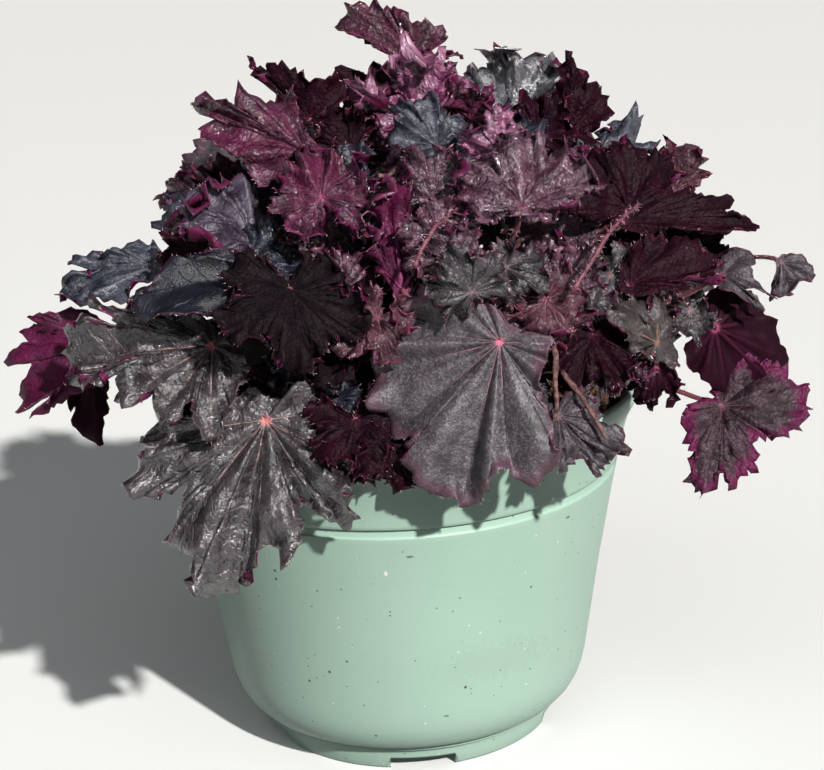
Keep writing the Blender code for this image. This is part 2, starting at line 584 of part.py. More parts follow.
# The lesser ones: the turn in degrees, then the same four.
SIDES = ((-14.0, 66.0, 160.0, 40.0, 0.35), (194.0, 66.0, 162.0, 40.0, 0.35), (-30.0, 50.0, 190.0, 34.0, 0.6),
         (186.0, 54.0, 186.0, 34.0, 0.6), (64.0, 34.0, 232.0, 34.0, 0.9), (118.0, 30.0, 236.0, 34.0, 0.9))


def ruled_leaf(name, kind, seed, tone, turn, rule):
    """A leaf that stands by rule, at an angle round the pot in degrees."""
    leaf = Leaf(name, kind, None, None, seed=seed, ruffle=0.06, droop=0.6, curl=-0.3, tone=tone)
    leaf.rule = (math.radians(turn), *rule)
    return leaf


def back_leaf(i):
    """A leaf round the back, in one of three tiers that overlap like shingles."""
    turn = BACK_FIRST + BACK_SWEEP * i / (BACK_COUNT - 1)
    return ruled_leaf(f"leaf_back_{i + 1:02d}", ("broad", "maple", "broad")[i * 2 % 3], 60 + i,
                      ("grey", "maroon", "navy", "plum")[i % 4], turn, BACK_TIERS[i % len(BACK_TIERS)])


def side_leaf(i):
    """A lesser leaf at one side or behind, which grows straight out of the crown."""
    return ruled_leaf(f"young_side_{i + 1}", "broad", 90 + i, "mauve", SIDES[i][0], SIDES[i][1:])


def locate_back(leaf):
    turn, out, high, length, rise = leaf.rule
    turn += math.radians(0.8 * leaf.shift * (-1 if turn > math.pi / 2 else 1))
    radial = np.array([math.cos(turn), math.sin(turn), 0.0])
    z = np.array([0.0, 0.0, 1.0])
    leaf.joint = radial * (out + leaf.shift) + z * (high + leaf.shift * 0.3)
    way = unit(radial * 0.9 + z * (rise - 0.75))
    normal = unit(z * 1.0 + radial * 0.55)
    normal = unit(normal - way * normal.dot(way))
    normal, way = leaf.turned(normal, way)
    across = np.cross(normal, way)
    leaf.length = length * leaf.shrink
    leaf.frame = np.array([way, across, normal])


def place(leaf):
    if leaf.joint_view is None:
        locate_back(leaf)
    else:
        leaf.locate()


def crown_profile():
    """Radius and height down the outside of the crown, a low knotty dome on a short stump."""
    floor = SOIL_TOP - SOIL_HOLE_DEPTH
    points = [(0.0, CROWN_TOP)]
    for k in range(1, 7):
        a = math.radians(90.0 - 15.0 * k)
        points.append((CROWN_RADIUS * math.cos(a), CROWN_SHOULDER + (CROWN_TOP - CROWN_SHOULDER) * math.sin(a)))
    return points + [(CROWN_RADIUS * 0.96, floor + 1.0), (0.0, floor + GAP / MM)]


def crown_point(crown_tree, way):
    """Where a ray from inside the crown leaves it, and the way the face there looks."""
    origin = Vector((0.0, 0.0, CROWN_SHOULDER + 2.0))
    hit, normal, _, _ = crown_tree.ray_cast(origin, Vector(way))
    return np.array(hit), np.array(normal)


def spread_feet(leaves, crown_tree):
    """Shares the crown out among the stalks: each heads for its blade, and pushes its neighbours away."""
    ways = []
    for leaf in leaves:
        place(leaf)
        aim = leaf.joint - np.array([0.0, 0.0, STALK_AIM])
        flat = math.hypot(aim[0], aim[1])
        rise = math.atan2(aim[2], flat)
        rise = min(max(rise, math.radians(10.0)), math.radians(84.0))
        turn = math.atan2(aim[1], aim[0])
        ways.append([math.cos(turn) * math.cos(rise), math.sin(turn) * math.cos(rise), math.sin(rise)])
    ways = np.array(ways)
    for _ in range(160):
        apart = ways[:, None] - ways[None]
        far = np.linalg.norm(apart, axis=2) + np.eye(len(ways)) * 9
        push = np.clip(0.36 - far, 0.0, None)[..., None] * apart / far[..., None]
        ways = ways + 0.35 * push.sum(1)
        ways[:, 2] = np.clip(ways[:, 2], 0.06, None)
        ways /= np.linalg.norm(ways, axis=1, keepdims=True)
    for leaf, way in zip(leaves, ways):
        hit, normal = crown_point(crown_tree, way)
        leaf.base = hit + normal * (GAP / MM)
        leaf.base_way = normal


def tree_of(points, faces):
    return BVHTree.FromPolygons([tuple(p) for p in points], faces)


def poses():
    """Small changes of place tried in turn until a blade is clear of those before it, mildest first."""
    rng = np.random.default_rng(7)
    yield 0.0, 0.0, 0.0, 1.0
    for k in range(POSE_TRIES):
        reach = 1.0 + k / 16.0
        yield (rng.uniform(-1.5, 1.5) * reach, math.radians(rng.uniform(-1.6, 1.6) * reach),
               math.radians(rng.uniform(-1.3, 1.3) * reach), 1.0 - rng.uniform(0.0, 0.012) * reach)


def sways():
    """Ways to lead the stalk aside, mildest first."""
    rng = np.random.default_rng(11)
    yield 0.0, 0.0
    for k in range(SWAY_TRIES):
        yield tuple(rng.uniform(-1.0, 1.0, 2) * (2.0 + k * 0.9))


def mesh_of(obj):
    """The points, in millimetres, and faces of an object's mesh."""
    return np.array([v.co for v in obj.data.vertices]) / MM, [tuple(p.vertices) for p in obj.data.polygons]


def boxed(points, faces):
    """A search tree of a mesh with the corners of its box."""
    return tree_of(points, faces), points.min(0), points.max(0)


def hits_of(points, faces, placed, most):
    """How many pairs of triangles cross those of the placed pieces, counted no further than most."""
    tree = tree_of(points, faces)
    points = np.array(points)
    low = points.min(0)
    high = points.max(0)
    hits = 0
    for other, box_low, box_high in placed:
        if (low < box_high).all() and (high > box_low).all():
            hits += len(tree.overlap(other))
            if hits >= most:
                break
    return hits


def best_stalk(leaf, placed, most):
    """The mildest sway that keeps the stalk off everything placed and off its own blade."""
    best = (most, (0.0, 0.0))
    blade, blade_faces = blade_part(leaf, BLADE_THICKNESS, 0.0)
    own = tree_of(blade, blade_faces)
    ring = blade[-STALK_SIDES:]
    skip = 2 * STALK_SIDES
    for leaf.sway in sways():
        points, faces = stalk_part(leaf, CLEARANCE, 0)
        points = ring + points
        hits = hits_of(points, faces, placed, best[0])
        if hits < best[0]:
            hits += len(tree_of(points, faces[skip:]).overlap(own))
        if hits < best[0]:
            best = (hits, leaf.sway)
        if hits == 0:
            break
    leaf.sway = best[1]
    return best[0]


def bend_clear(leaf, placed):
    """Shifts, turns, nods and re-routes a leaf by the mildest change that keeps it off everything placed."""
    best = (10 ** 6, None)
    clear = 0
    for pose in poses():
        leaf.shift, leaf.turn, leaf.nod, leaf.shrink = pose
        place(leaf)
        points, faces = blade_part(leaf, BLADE_THICKNESS + 2 * CLEARANCE, CLEARANCE)
        hits = 3 * hits_of(points, faces, placed, best[0])
        if hits >= best[0]:
            continue
        clear += hits == 0
        hits += best_stalk(leaf, placed, best[0] - hits)
        if hits < best[0]:
            best = (hits, pose + (leaf.sway,))
        if hits == 0 or clear > CLEAR_TRIES:
            break
    leaf.shift, leaf.turn, leaf.nod, leaf.shrink, leaf.sway = best[1]
    place(leaf)
    return best[0]


def new_object(name, points, faces, material, collection):
    mesh = bpy.data.meshes.new(name)
    mesh.from_pydata([tuple(p * MM) for p in points], [], faces)
    mesh.update()
    obj = bpy.data.objects.new(name, mesh)
    mesh.materials.append(material)
    collection.objects.link(obj)
    return obj


def material(name, colour, roughness):
    made = bpy.data.materials.new(name)
    made.use_nodes = True
    shader = made.node_tree.nodes["Principled BSDF"]
    shader.inputs["Base Color"].default_value = (*colour, 1.0)
    shader.inputs["Roughness"].default_value = roughness
    made.diffuse_color = (*colour, 1.0)
    return made


def turned(name, profile, steps, made, collection):
    """A shape turned about the Z axis from (radius, height) points in millimetres, outer side first."""
    mesh = bpy.data.meshes.new(name)
    points = [(r * MM, 0.0, z * MM) for r, z in profile]
    closed = profile[0][0] > 0
    edges = [(i, i + 1) for i in range(len(points) - 1)]
    if closed:
        edges.append((len(points) - 1, 0))
    mesh.from_pydata(points, edges, [])
    obj = bpy.data.objects.new(name, mesh)
    mesh.materials.append(made)
    collection.objects.link(obj)
    screw = obj.modifiers.new("turn", "SCREW")
    screw.steps = steps
    screw.render_steps = steps
    screw.use_merge_vertices = True
    screw.merge_threshold = 0.00001
    screw.use_smooth_shade = False
    return obj


def pot_profile():
    lip = POT_LIP_RADIUS
    seam_r, seam_z = POT_SEAM
    corner_r, corner_z = POT_CORNER
    skirt_r, skirt_z = POT_SKIRT
    foot = POT_FOOT_RADIUS
    outer = [
        (lip - 1.2, POT_TOP), (lip, POT_TOP - 2.0), (lip - 0.4, POT_TOP - 5.6), (lip - 4.6, POT_TOP - 13.0),
        (seam_r + 2.4, seam_z + 8.0), (seam_r + 0.6, seam_z + 1.0), (seam_r - 0.6, seam_z),
        (seam_r - 0.6, seam_z - 3.8), (corner_r + 1.0, corner_z + 6.0), (corner_r - 0.6, corner_z - 2.0),
        (corner_r - 3.4, corner_z - 8.0), (skirt_r + 2.6, skirt_z + 1.6), (skirt_r, skirt_z), (foot, 0.0),
    ]
    inner = [
        (foot - 2.2, 0.0), (foot - 2.6, POT_FLOOR - POT_WALL),
        (0.0, POT_FLOOR - POT_WALL), (0.0, POT_FLOOR), (foot - 3.0, POT_FLOOR),
        (corner_r - 6.0, corner_z - 6.0), (corner_r - POT_WALL - 1.0, corner_z + 4.0),
        (seam_r - POT_WALL - 0.9, seam_z - 3.8), (seam_r - POT_WALL, seam_z + 1.0),
        (lip - 5.6 - POT_WALL, POT_TOP - 12.6), (lip - 2.8, POT_TOP - 3.0), (lip - 2.3, POT_TOP - 0.8),
    ]
    return outer, inner


def inner_radius(z):
    """Radius of the pot's inside wall at height z."""
    _, inner = pot_profile()
    walls = [(h, r) for r, h in inner[4:]]
    return float(np.interp(z, [w[0] for w in walls], [w[1] for w in walls]))


def applied(obj):
    """Replaces an object's mesh by its evaluated one and drops the modifiers."""
    graph = bpy.context.evaluated_depsgraph_get()
    mesh = bpy.data.meshes.new_from_object(obj.evaluated_get(graph))
    work = bmesh.new()
    work.from_mesh(mesh)
    bmesh.ops.remove_doubles(work, verts=work.verts, dist=WELD)
    work.to_mesh(mesh)
    work.free()
    obj.modifiers.clear()
    obj.data = mesh
    return obj


def build():
    for obj in list(bpy.data.objects):
        bpy.data.objects.remove(obj)
    parts = bpy.data.collections.new("heuchera_in_pot")
    bpy.context.scene.collection.children.link(parts)
    cutters = bpy.data.collections.new("cutters")
    bpy.context.scene.collection.children.link(cutters)
    tones = {
        "slate": (0.030, 0.026, 0.030), "plum": (0.045, 0.024, 0.040), "grey": (0.10, 0.07, 0.09),
        "navy": (0.012, 0.014, 0.030), "magenta": (0.22, 0.012, 0.075), "maroon": (0.060, 0.006, 0.022),
        "pink": (0.16, 0.05, 0.08), "mauve": (0.14, 0.035, 0.085), "silver": (0.20, 0.19, 0.21),
        "olive": (0.09, 0.08, 0.06), "plumback": (0.11, 0.006, 0.035),
    }
    shades = {name: material(f"leaf_{name}", colour, 0.4) for name, colour in tones.items()}
    pot_green = material("pot_plastic", (0.40, 0.59, 0.47), 0.5)
    soil_brown = material("soil_mix", (0.05, 0.03, 0.018), 0.95)
    crown_brown = material("crown_wood", (0.16, 0.07, 0.035), 0.8)

    outer, inner = pot_profile()
    pot = turned("pot", outer + inner, POT_STEPS, pot_green, parts)
    applied(pot)
    for k in range(NOTCH_COUNT):
        turn = math.radians(NOTCH_FIRST + 360.0 * k / NOTCH_COUNT)
        bpy.ops.mesh.primitive_cube_add(size=1.0)
        cutter = bpy.context.object
        cutter.name = f"notch_cutter_{k}"
        radial = Vector((math.cos(turn), math.sin(turn), 0.0))
        cutter.scale = Vector((NOTCH_DEPTH, NOTCH_WIDTH, 2 * NOTCH_HEIGHT)) * MM
        cutter.location = radial * POT_FOOT_RADIUS * MM
        cutter.rotation_euler = (0.0, 0.0, turn)
        bpy.ops.mesh.primitive_cylinder_add(vertices=10, radius=DRAIN_RADIUS * MM, depth=2 * POT_FLOOR * MM)
        drain = bpy.context.object
        drain.name = f"drain_cutter_{k}"
        drain.location = (radial * DRAIN_REACH + Vector((0.0, 0.0, POT_FLOOR))) * MM
        for tool in (cutter, drain):
            for holder in tool.users_collection:
                holder.objects.unlink(tool)
            cutters.objects.link(tool)
            tool.hide_render = True
            tool.display_type = "WIRE"
            cut = pot.modifiers.new(tool.name, "BOOLEAN")
            cut.operation = "DIFFERENCE"
            cut.object = tool

    hole = SOIL_CROWN_RADIUS
    soil_points = [
        (hole, SOIL_TOP + 1.5), (inner_radius(SOIL_TOP) - 0.35, SOIL_TOP),
        (inner_radius(POT_SEAM[1] - 3.8) - 0.35, POT_SEAM[1] - 3.8),
        (inner_radius(POT_CORNER[1] + 4.0) - 0.35, POT_CORNER[1] + 4.0),
        (inner_radius(POT_CORNER[1] - 6.0) - 0.35, POT_CORNER[1] - 6.0),
        (POT_FOOT_RADIUS - 3.6, POT_FLOOR + 0.3), (0.0, POT_FLOOR + 0.3), (0.0, SOIL_TOP - SOIL_HOLE_DEPTH),
        (hole, SOIL_TOP - SOIL_HOLE_DEPTH),
    ]
    soil = turned("soil", soil_points, POT_STEPS, soil_brown, parts)
    crown = turned("crown", crown_profile(), CROWN_STEPS, crown_brown, parts)
    applied(crown)

    placed = [boxed(*mesh_of(applied(pot))), boxed(*mesh_of(applied(soil)))]
    leaves = LEAVES + [back_leaf(i) for i in range(BACK_COUNT)]
    young = YOUNG + [side_leaf(i) for i in range(len(SIDES))]
    spread_feet(leaves + young, tree_of(*mesh_of(crown)))
    for leaf in leaves:
        hits = bend_clear(leaf, placed)
        points, faces = leaf_mesh(leaf)
        placed.append(boxed(points, faces))
        new_object(leaf.name, points, faces, shades[leaf.tone], parts)
        if hits:
            print(f"{leaf.name} still touches a neighbour: hits {hits}")
    shoots = bpy.data.collections.new("shoots")
    bpy.context.scene.collection.children.link(shoots)
    for leaf in young:
        leaf.base = leaf.base - leaf.base_way * (YOUNG_SINK + GAP / MM)
        hits = bend_clear(leaf, placed)
        new_object(leaf.name, *leaf_mesh(leaf), shades[leaf.tone], shoots)
        if hits:
            print(f"{leaf.name} still touches a neighbour: hits {hits}")
    fuse(crown, shoots)
    centre(parts)


def fuse(body, group):
    """Joins every object of a collection to a body in one Boolean union, and removes the collection."""
    union = body.modifiers.new("shoots", "BOOLEAN")
    union.operation = "UNION"
    union.operand_type = "COLLECTION"
    union.collection = group
    union.solver = "MANIFOLD"
    applied(body)
    for obj in list(group.objects):
        bpy.data.objects.remove(obj)
    bpy.data.collections.remove(group)


def centre(group):
    """Moves every part so that the middle of the whole plant's box lies over the origin."""
    points = np.concatenate([mesh_of(obj)[0] for obj in group.objects])
    middle = (points.min(0) + points.max(0)) / 2
    for obj in group.objects:
        obj.data.transform(Matrix.Translation(Vector((-middle[0], -middle[1], 0.0)) * MM))


build()
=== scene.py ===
"""The looks of a heuchera growing in a pale green nursery pot.

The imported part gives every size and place.  Each leaf of the part is found again by its outline and then
drawn as a thin waved blade with teeth, veins and puckers on a hairy leaf stalk.  Lengths are in millimetres.
"""

import math

import bmesh
import bpy
import numpy as np
from mathutils import Matrix, Vector
from mathutils.bvhtree import BVHTree


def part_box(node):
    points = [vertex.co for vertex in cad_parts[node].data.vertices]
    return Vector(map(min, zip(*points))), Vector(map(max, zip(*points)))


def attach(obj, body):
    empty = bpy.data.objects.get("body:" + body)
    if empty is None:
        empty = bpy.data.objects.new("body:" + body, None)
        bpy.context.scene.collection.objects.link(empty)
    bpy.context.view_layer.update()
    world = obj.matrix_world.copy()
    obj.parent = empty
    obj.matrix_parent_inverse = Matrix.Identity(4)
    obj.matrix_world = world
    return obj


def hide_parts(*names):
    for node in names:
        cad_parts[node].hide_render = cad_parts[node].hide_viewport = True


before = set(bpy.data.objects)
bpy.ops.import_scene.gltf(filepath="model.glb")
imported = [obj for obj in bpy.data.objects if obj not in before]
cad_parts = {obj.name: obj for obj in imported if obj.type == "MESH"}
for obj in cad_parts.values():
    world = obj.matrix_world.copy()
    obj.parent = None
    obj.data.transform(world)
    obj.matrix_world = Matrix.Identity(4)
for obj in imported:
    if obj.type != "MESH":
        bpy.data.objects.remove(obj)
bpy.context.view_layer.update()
MM = 0.001

# The photograph's eye, which also places the leaves: down from the front, a little tilted.
VIEW_DISTANCE = 850.0
VIEW_PITCH = 18.05
VIEW_ROLL = -2.5
VIEW_TARGET = (6.3, 0.0, 141.6)
VIEW_FOCUS = 2086.0
VIEW_CENTRE = (412.0, 385.0)
PHOTO_WIDTH = 824.0

# The part's leaves: the same driving sizes as its source, in millimetres and shares.
BLADE_THICKNESS = 0.9
STALK_RINGS = 4
POSE_TRIES = 480
SWAY_TRIES = 34
NOTCH_SHARE = 0.12
MOST_REACH = 1.5
LEAST_STEP = 0.025
GAP = 0.3
SOIL_TOP = 132.0
SOIL_HOLE_DEPTH = 16.0
CROWN_RADIUS = 20.0
CROWN_SHOULDER = 141.0
CROWN_TOP = 163.0
CROWN_DOME = CROWN_TOP - CROWN_SHOULDER
CROWN_STEPS = 16
CROWN_BANDS = 6
CROWN_FOOT = 0.96
YOUNG_SINK = 6.0
STALK_AIM = 128.0
LEAST_RISE = math.radians(10.0)
MOST_RISE = math.radians(84.0)
PUSH_ROUNDS = 160
PUSH_SHARE = 0.35
FEET_APART = 0.36
LOWEST_FOOT = 0.06
SAME = 0.012
EDGE_ROOM = 1.0
# The most that a tried place differs: its shift in millimetres, turn and nod in degrees, and how much it
# shrinks; and how far a stalk is led aside at first and how much farther at each try.
POSE_MOST = (1.5, 1.6, 1.3, 0.012)
SWAY_FIRST = 2.0
SWAY_STEP = 0.9
# The outline of a blade that has no traced edge, in shares of its length and of the step between lobes: how
# the lobes fall off, where a lobe's shoulders are, how far the last one runs on, and the reach by the stalk.
LOBE_FALL = 1.3
LOBE_UNEVEN = 0.05
SHOULDER = 0.27
END_STEP = 0.22
END_REACH = 0.72
END_GAP = 0.16
STALK_REACH = 0.11
LEAST_REACH = 0.16
# The stalk's radius on a blade of no length, what each millimetre of blade adds, how it widens downwards; how
# it leaves the blade, down and back; and how strongly its ends pull on the curve between them.
STALK_LEAST = 0.75
STALK_GROWTH = 0.0125
STALK_SPREAD = 0.35
STALK_DOWN = 0.8
STALK_BACK = 0.6
BLADE_PULL = 0.30
FOOT_PULL = 0.38

# The kinds of blade: how many lobes it has, how deep the gaps between them are, over how many degrees to each
# side they spread, the reach of the last lobe and that of a lobe's shoulders.
KINDS = {
    "maple": dict(lobes=7, deep=0.40, spread=132.0, last=0.66, tooth=0.80),
    "lobed": dict(lobes=7, deep=0.26, spread=130.0, last=0.70, tooth=0.90),
    "round": dict(lobes=7, deep=0.10, spread=134.0, last=0.78, tooth=0.985),
    "ruffled": dict(lobes=7, deep=0.22, spread=136.0, last=0.76, tooth=0.93),
    "young": dict(lobes=5, deep=0.30, spread=118.0, last=0.74, tooth=0.88),
    "broad": dict(lobes=5, deep=0.20, spread=122.0, last=0.84, tooth=0.94),
}

# How each kind of blade is finished, in millimetres: the width and depth of a tooth, how far the margin waves
# and over what length, how deep the crumples and the puckers between the veins are, and how far the blade
# stands up between its main veins as a share of its reach.
FINISHES = {
    "maple": dict(tooth=6.4, depth=2.0, wave=1.3, wave_length=17.0, crumple=2.3, pucker=0.3, fold=0.16),
    "lobed": dict(tooth=5.0, depth=2.5, wave=2.2, wave_length=13.0, crumple=2.2, pucker=0.9, fold=0.06),
    "round": dict(tooth=5.0, depth=0.6, wave=1.5, wave_length=26.0, crumple=0.7, pucker=0.0, fold=0.13),
    "ruffled": dict(tooth=3.6, depth=2.6, wave=4.8, wave_length=10.5, crumple=3.6, pucker=0.7, fold=0.06),
    "young": dict(tooth=3.2, depth=2.1, wave=3.4, wave_length=8.5, crumple=2.8, pucker=0.5, fold=0.04),
    "broad": dict(tooth=4.8, depth=2.2, wave=2.2, wave_length=14.0, crumple=1.8, pucker=0.7, fold=0.10),
    "calm": dict(tooth=6.0, depth=1.0, wave=0.9, wave_length=22.0, crumple=0.9, pucker=0.25, fold=0.08),
}
# Leaves that are finished otherwise than their kind.
FINISH_OF = {"leaf_left_magenta": "calm", "leaf_left_hanging": "calm", "leaf_right_round": "calm",
             "leaf_right_curled": "calm", "leaf_right_fold": "calm", "leaf_left_navy": "calm",
             "leaf_right_pointed": "calm", "leaf_right_low": "lobed"}


def finish_of(leaf):
    """How this leaf's blade is finished."""
    return FINISHES[FINISH_OF.get(leaf.name, leaf.kind_name)]


def view_axes():
    """The ways right, up and forward in the front view, before it is tilted."""
    pitch = math.radians(VIEW_PITCH)
    forward = np.array([0.0, math.cos(pitch), -math.sin(pitch)])
    up = np.array([0.0, math.sin(pitch), math.cos(pitch)])
    right = np.array([1.0, 0.0, 0.0])
    return right, up, forward


RIGHT, UP, FORWARD = view_axes()
EYE = np.array(VIEW_TARGET) - VIEW_DISTANCE * FORWARD


def pot_axis():
    """Where the pot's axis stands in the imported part."""
    low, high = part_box("pot")
    return np.array([(low[0] + high[0]) / 2, (low[1] + high[1]) / 2, 0.0]) / MM


POT_AXIS = pot_axis()


def from_view(across, down, depth):
    """The point, from the pot's axis, seen at (across, down) in the front view and lying at y = depth."""
    roll = math.radians(VIEW_ROLL)
    dx = across - VIEW_CENTRE[0]
    dy = down - VIEW_CENTRE[1]
    a = math.cos(roll) * dx + math.sin(roll) * dy
    b = -math.sin(roll) * dx + math.cos(roll) * dy
    ray = FORWARD + RIGHT * a / VIEW_FOCUS - UP * b / VIEW_FOCUS
    return EYE + ray * (depth - EYE[1]) / ray[1]


def unit(v):
    """The same way, one long."""
    return v / np.linalg.norm(v)


class Leaf:
    """One row of LEAVES, with its outline and its place worked out as in the part."""

    def __init__(self, name, kind, joint, tip, face=(0.0, 0.3), side=1, width=1.0, droop=0.5, curl=-0.2,
                 ruffle=0.08, pleat=0.03, seed=0, tone="grey", edge=None):
        self.name = name
        self.kind_name = kind
        self.kind = KINDS[kind]
        self.joint_view = joint
        self.tip_view = tip
        self.face = face
        self.side = side
        self.width = width
        self.droop = droop
        self.curl = curl
        self.ruffle = ruffle
        self.pleat = pleat
        self.seed = seed
        self.tone = tone
        self.edge = edge
        self.shift = 0.0
        self.turn = 0.0
        self.nod = 0.0
        self.shrink = 1.0
        self.sway = (0.0, 0.0)
        self.base = None
        self.base_way = None
        self.phases = [math.tau * ((seed * k * 0.6180339887) % 1.0) for k in (1, 2, 3, 4, 5)]
        self.outline()

    def outline(self):
        """Key angles and radii round the blade, from one side of the stalk's notch to the other."""
        half = self.kind["lobes"] // 2
        step = math.radians(self.kind["spread"]) / half
        angles = []
        radii = []
        for i in range(-half, half + 1):
            share = abs(i) / half
            tip = 1.0 - (1.0 - self.kind["last"]) * share ** LOBE_FALL
            tip *= 1.0 + LOBE_UNEVEN * math.sin(self.phases[0] + 2.1 * i)
            side = tip * self.kind["tooth"]
            angles += [(i - SHOULDER) * step, i * step, (i + SHOULDER) * step]
            radii += [side, tip, side]
            if i < half:
                near = 1.0 - (1.0 - self.kind["last"]) * (abs(i + 0.5) / half) ** LOBE_FALL
                angles.append((i + 0.5) * step)
                radii.append(near * (1.0 - self.kind["deep"]))
        self.step = step
        end = min(angles[-1] + END_STEP * step, math.pi - END_GAP)
        angles = [-end] + angles + [end, math.pi]
        radii = [radii[0] * END_REACH] + radii + [radii[-1] * END_REACH, STALK_REACH]
        self.key_angles = np.array(angles)
        self.key_radii = np.array(radii)

    def locate(self):
        """World frame of the blade, with its size, so that the bent middle lobe ends where LEAVES says."""
        joint = from_view(*self.joint_view)
        tip = from_view(*self.tip_view)
        eye_ray = unit(joint - EYE)
        joint = joint + eye_ray * self.shift
        tip = tip + eye_ray * self.shift
        chord = tip - joint
        way = unit(chord)
        towards = -eye_ray + np.array([self.face[0], 0.0, self.face[1]])
        normal = unit(towards - way * towards.dot(way)) * self.side
        normal, way = self.turned(normal, way)
        across = np.cross(normal, way)
        self.joint = joint
        end = self.bend(np.array([1.0]), np.array([0.0]), np.array([0.0]))[0]
        lean = math.atan2(end[2], end[0])
        reach = math.hypot(end[0], end[2])
        self.length = np.linalg.norm(chord) / reach * self.shrink
        if self.edge:
            self.trace_edge(way, across, normal)
        along = way * math.cos(lean) - normal * math.sin(lean)
        upward = way * math.sin(lean) + normal * math.cos(lean)
        self.frame = np.array([along, across, upward])

    def turned(self, normal, way):
        """Turns the blade about its middle lobe, then nods it about the line across it."""
        across = np.cross(way, normal)
        normal = normal * math.cos(self.turn) + across * math.sin(self.turn)
        return (normal * math.cos(self.nod) - way * math.sin(self.nod),
                way * math.cos(self.nod) + normal * math.sin(self.nod))

    def trace_edge(self, way, across, normal):
        """Carries an edge read in the front view onto the plane of the blade, with a notch for the stalk."""
        keys = []
        for point in self.edge:
            ray = from_view(point[0], point[1], 0.0) - EYE
            hit = EYE + ray * (self.joint - EYE).dot(normal) / ray.dot(normal) - self.joint
            radius = min(max(np.linalg.norm(hit) / self.length, LEAST_REACH), MOST_REACH)
            keys.append([math.atan2(hit.dot(across), hit.dot(way)), radius])
        keys.sort()
        gaps = [(keys[(i + 1) % len(keys)][0] - keys[i][0]) % math.tau for i in range(len(keys))]
        widest = gaps.index(max(gaps))
        middle = keys[widest][0] + gaps[widest] / 2
        if middle > math.pi:
            middle -= math.tau
        keys.append([middle, NOTCH_SHARE])
        keys.sort()
        for before, after in zip(keys, keys[1:]):
            after[0] = max(after[0], before[0] + LEAST_STEP)
        self.key_angles = np.array([key[0] for key in keys])
        self.key_radii = np.array([key[1] for key in keys])

    def bend(self, a, b, h):
        """Curls the flat blade: across first, then along.  All in shares of the blade's length."""
        k = self.curl if abs(self.curl) > 1e-3 else 1e-3
        s = b * k
        b2 = np.sin(s) / k - h * np.sin(s)
        h2 = (1.0 - np.cos(s)) / k + h * np.cos(s)
        k = -self.droop if abs(self.droop) > 1e-3 else -1e-3
        s = a * k
        a2 = np.sin(s) / k - h2 * np.sin(s)
        h3 = (1.0 - np.cos(s)) / k + h2 * np.cos(s)
        return np.stack([a2, b2, h3], -1)

    def height(self, angle, share):
        """How far the blade stands off its own plane before it is bent, in shares of its length."""
        wave = 0.62 * np.sin(math.pi * angle / self.step + self.phases[1])
        wave = wave + 0.45 * np.sin(1.55 * math.pi * angle / self.step + self.phases[2])
        wave = wave + 0.30 * np.cos(math.tau * angle / self.step)
        return self.ruffle * share ** 2 * wave - self.pleat * share * np.cos(math.tau * angle / self.step)

    def spot(self, angle, share, reach):
        """Points of the blade's middle surface.  share runs from the stalk (0) to the edge at reach (1)."""
        inner = self.stalk_radius() / self.length
        radius = inner + (reach - inner) * share
        a = radius * np.cos(angle)
        b = radius * np.sin(angle) * self.width
        local = self.bend(a, b, self.height(angle, share))
        return self.joint + (local * self.length) @ self.frame

    def stalk_radius(self):
        """The radius of the stalk where it meets the blade."""
        return STALK_LEAST + STALK_GROWTH * self.length


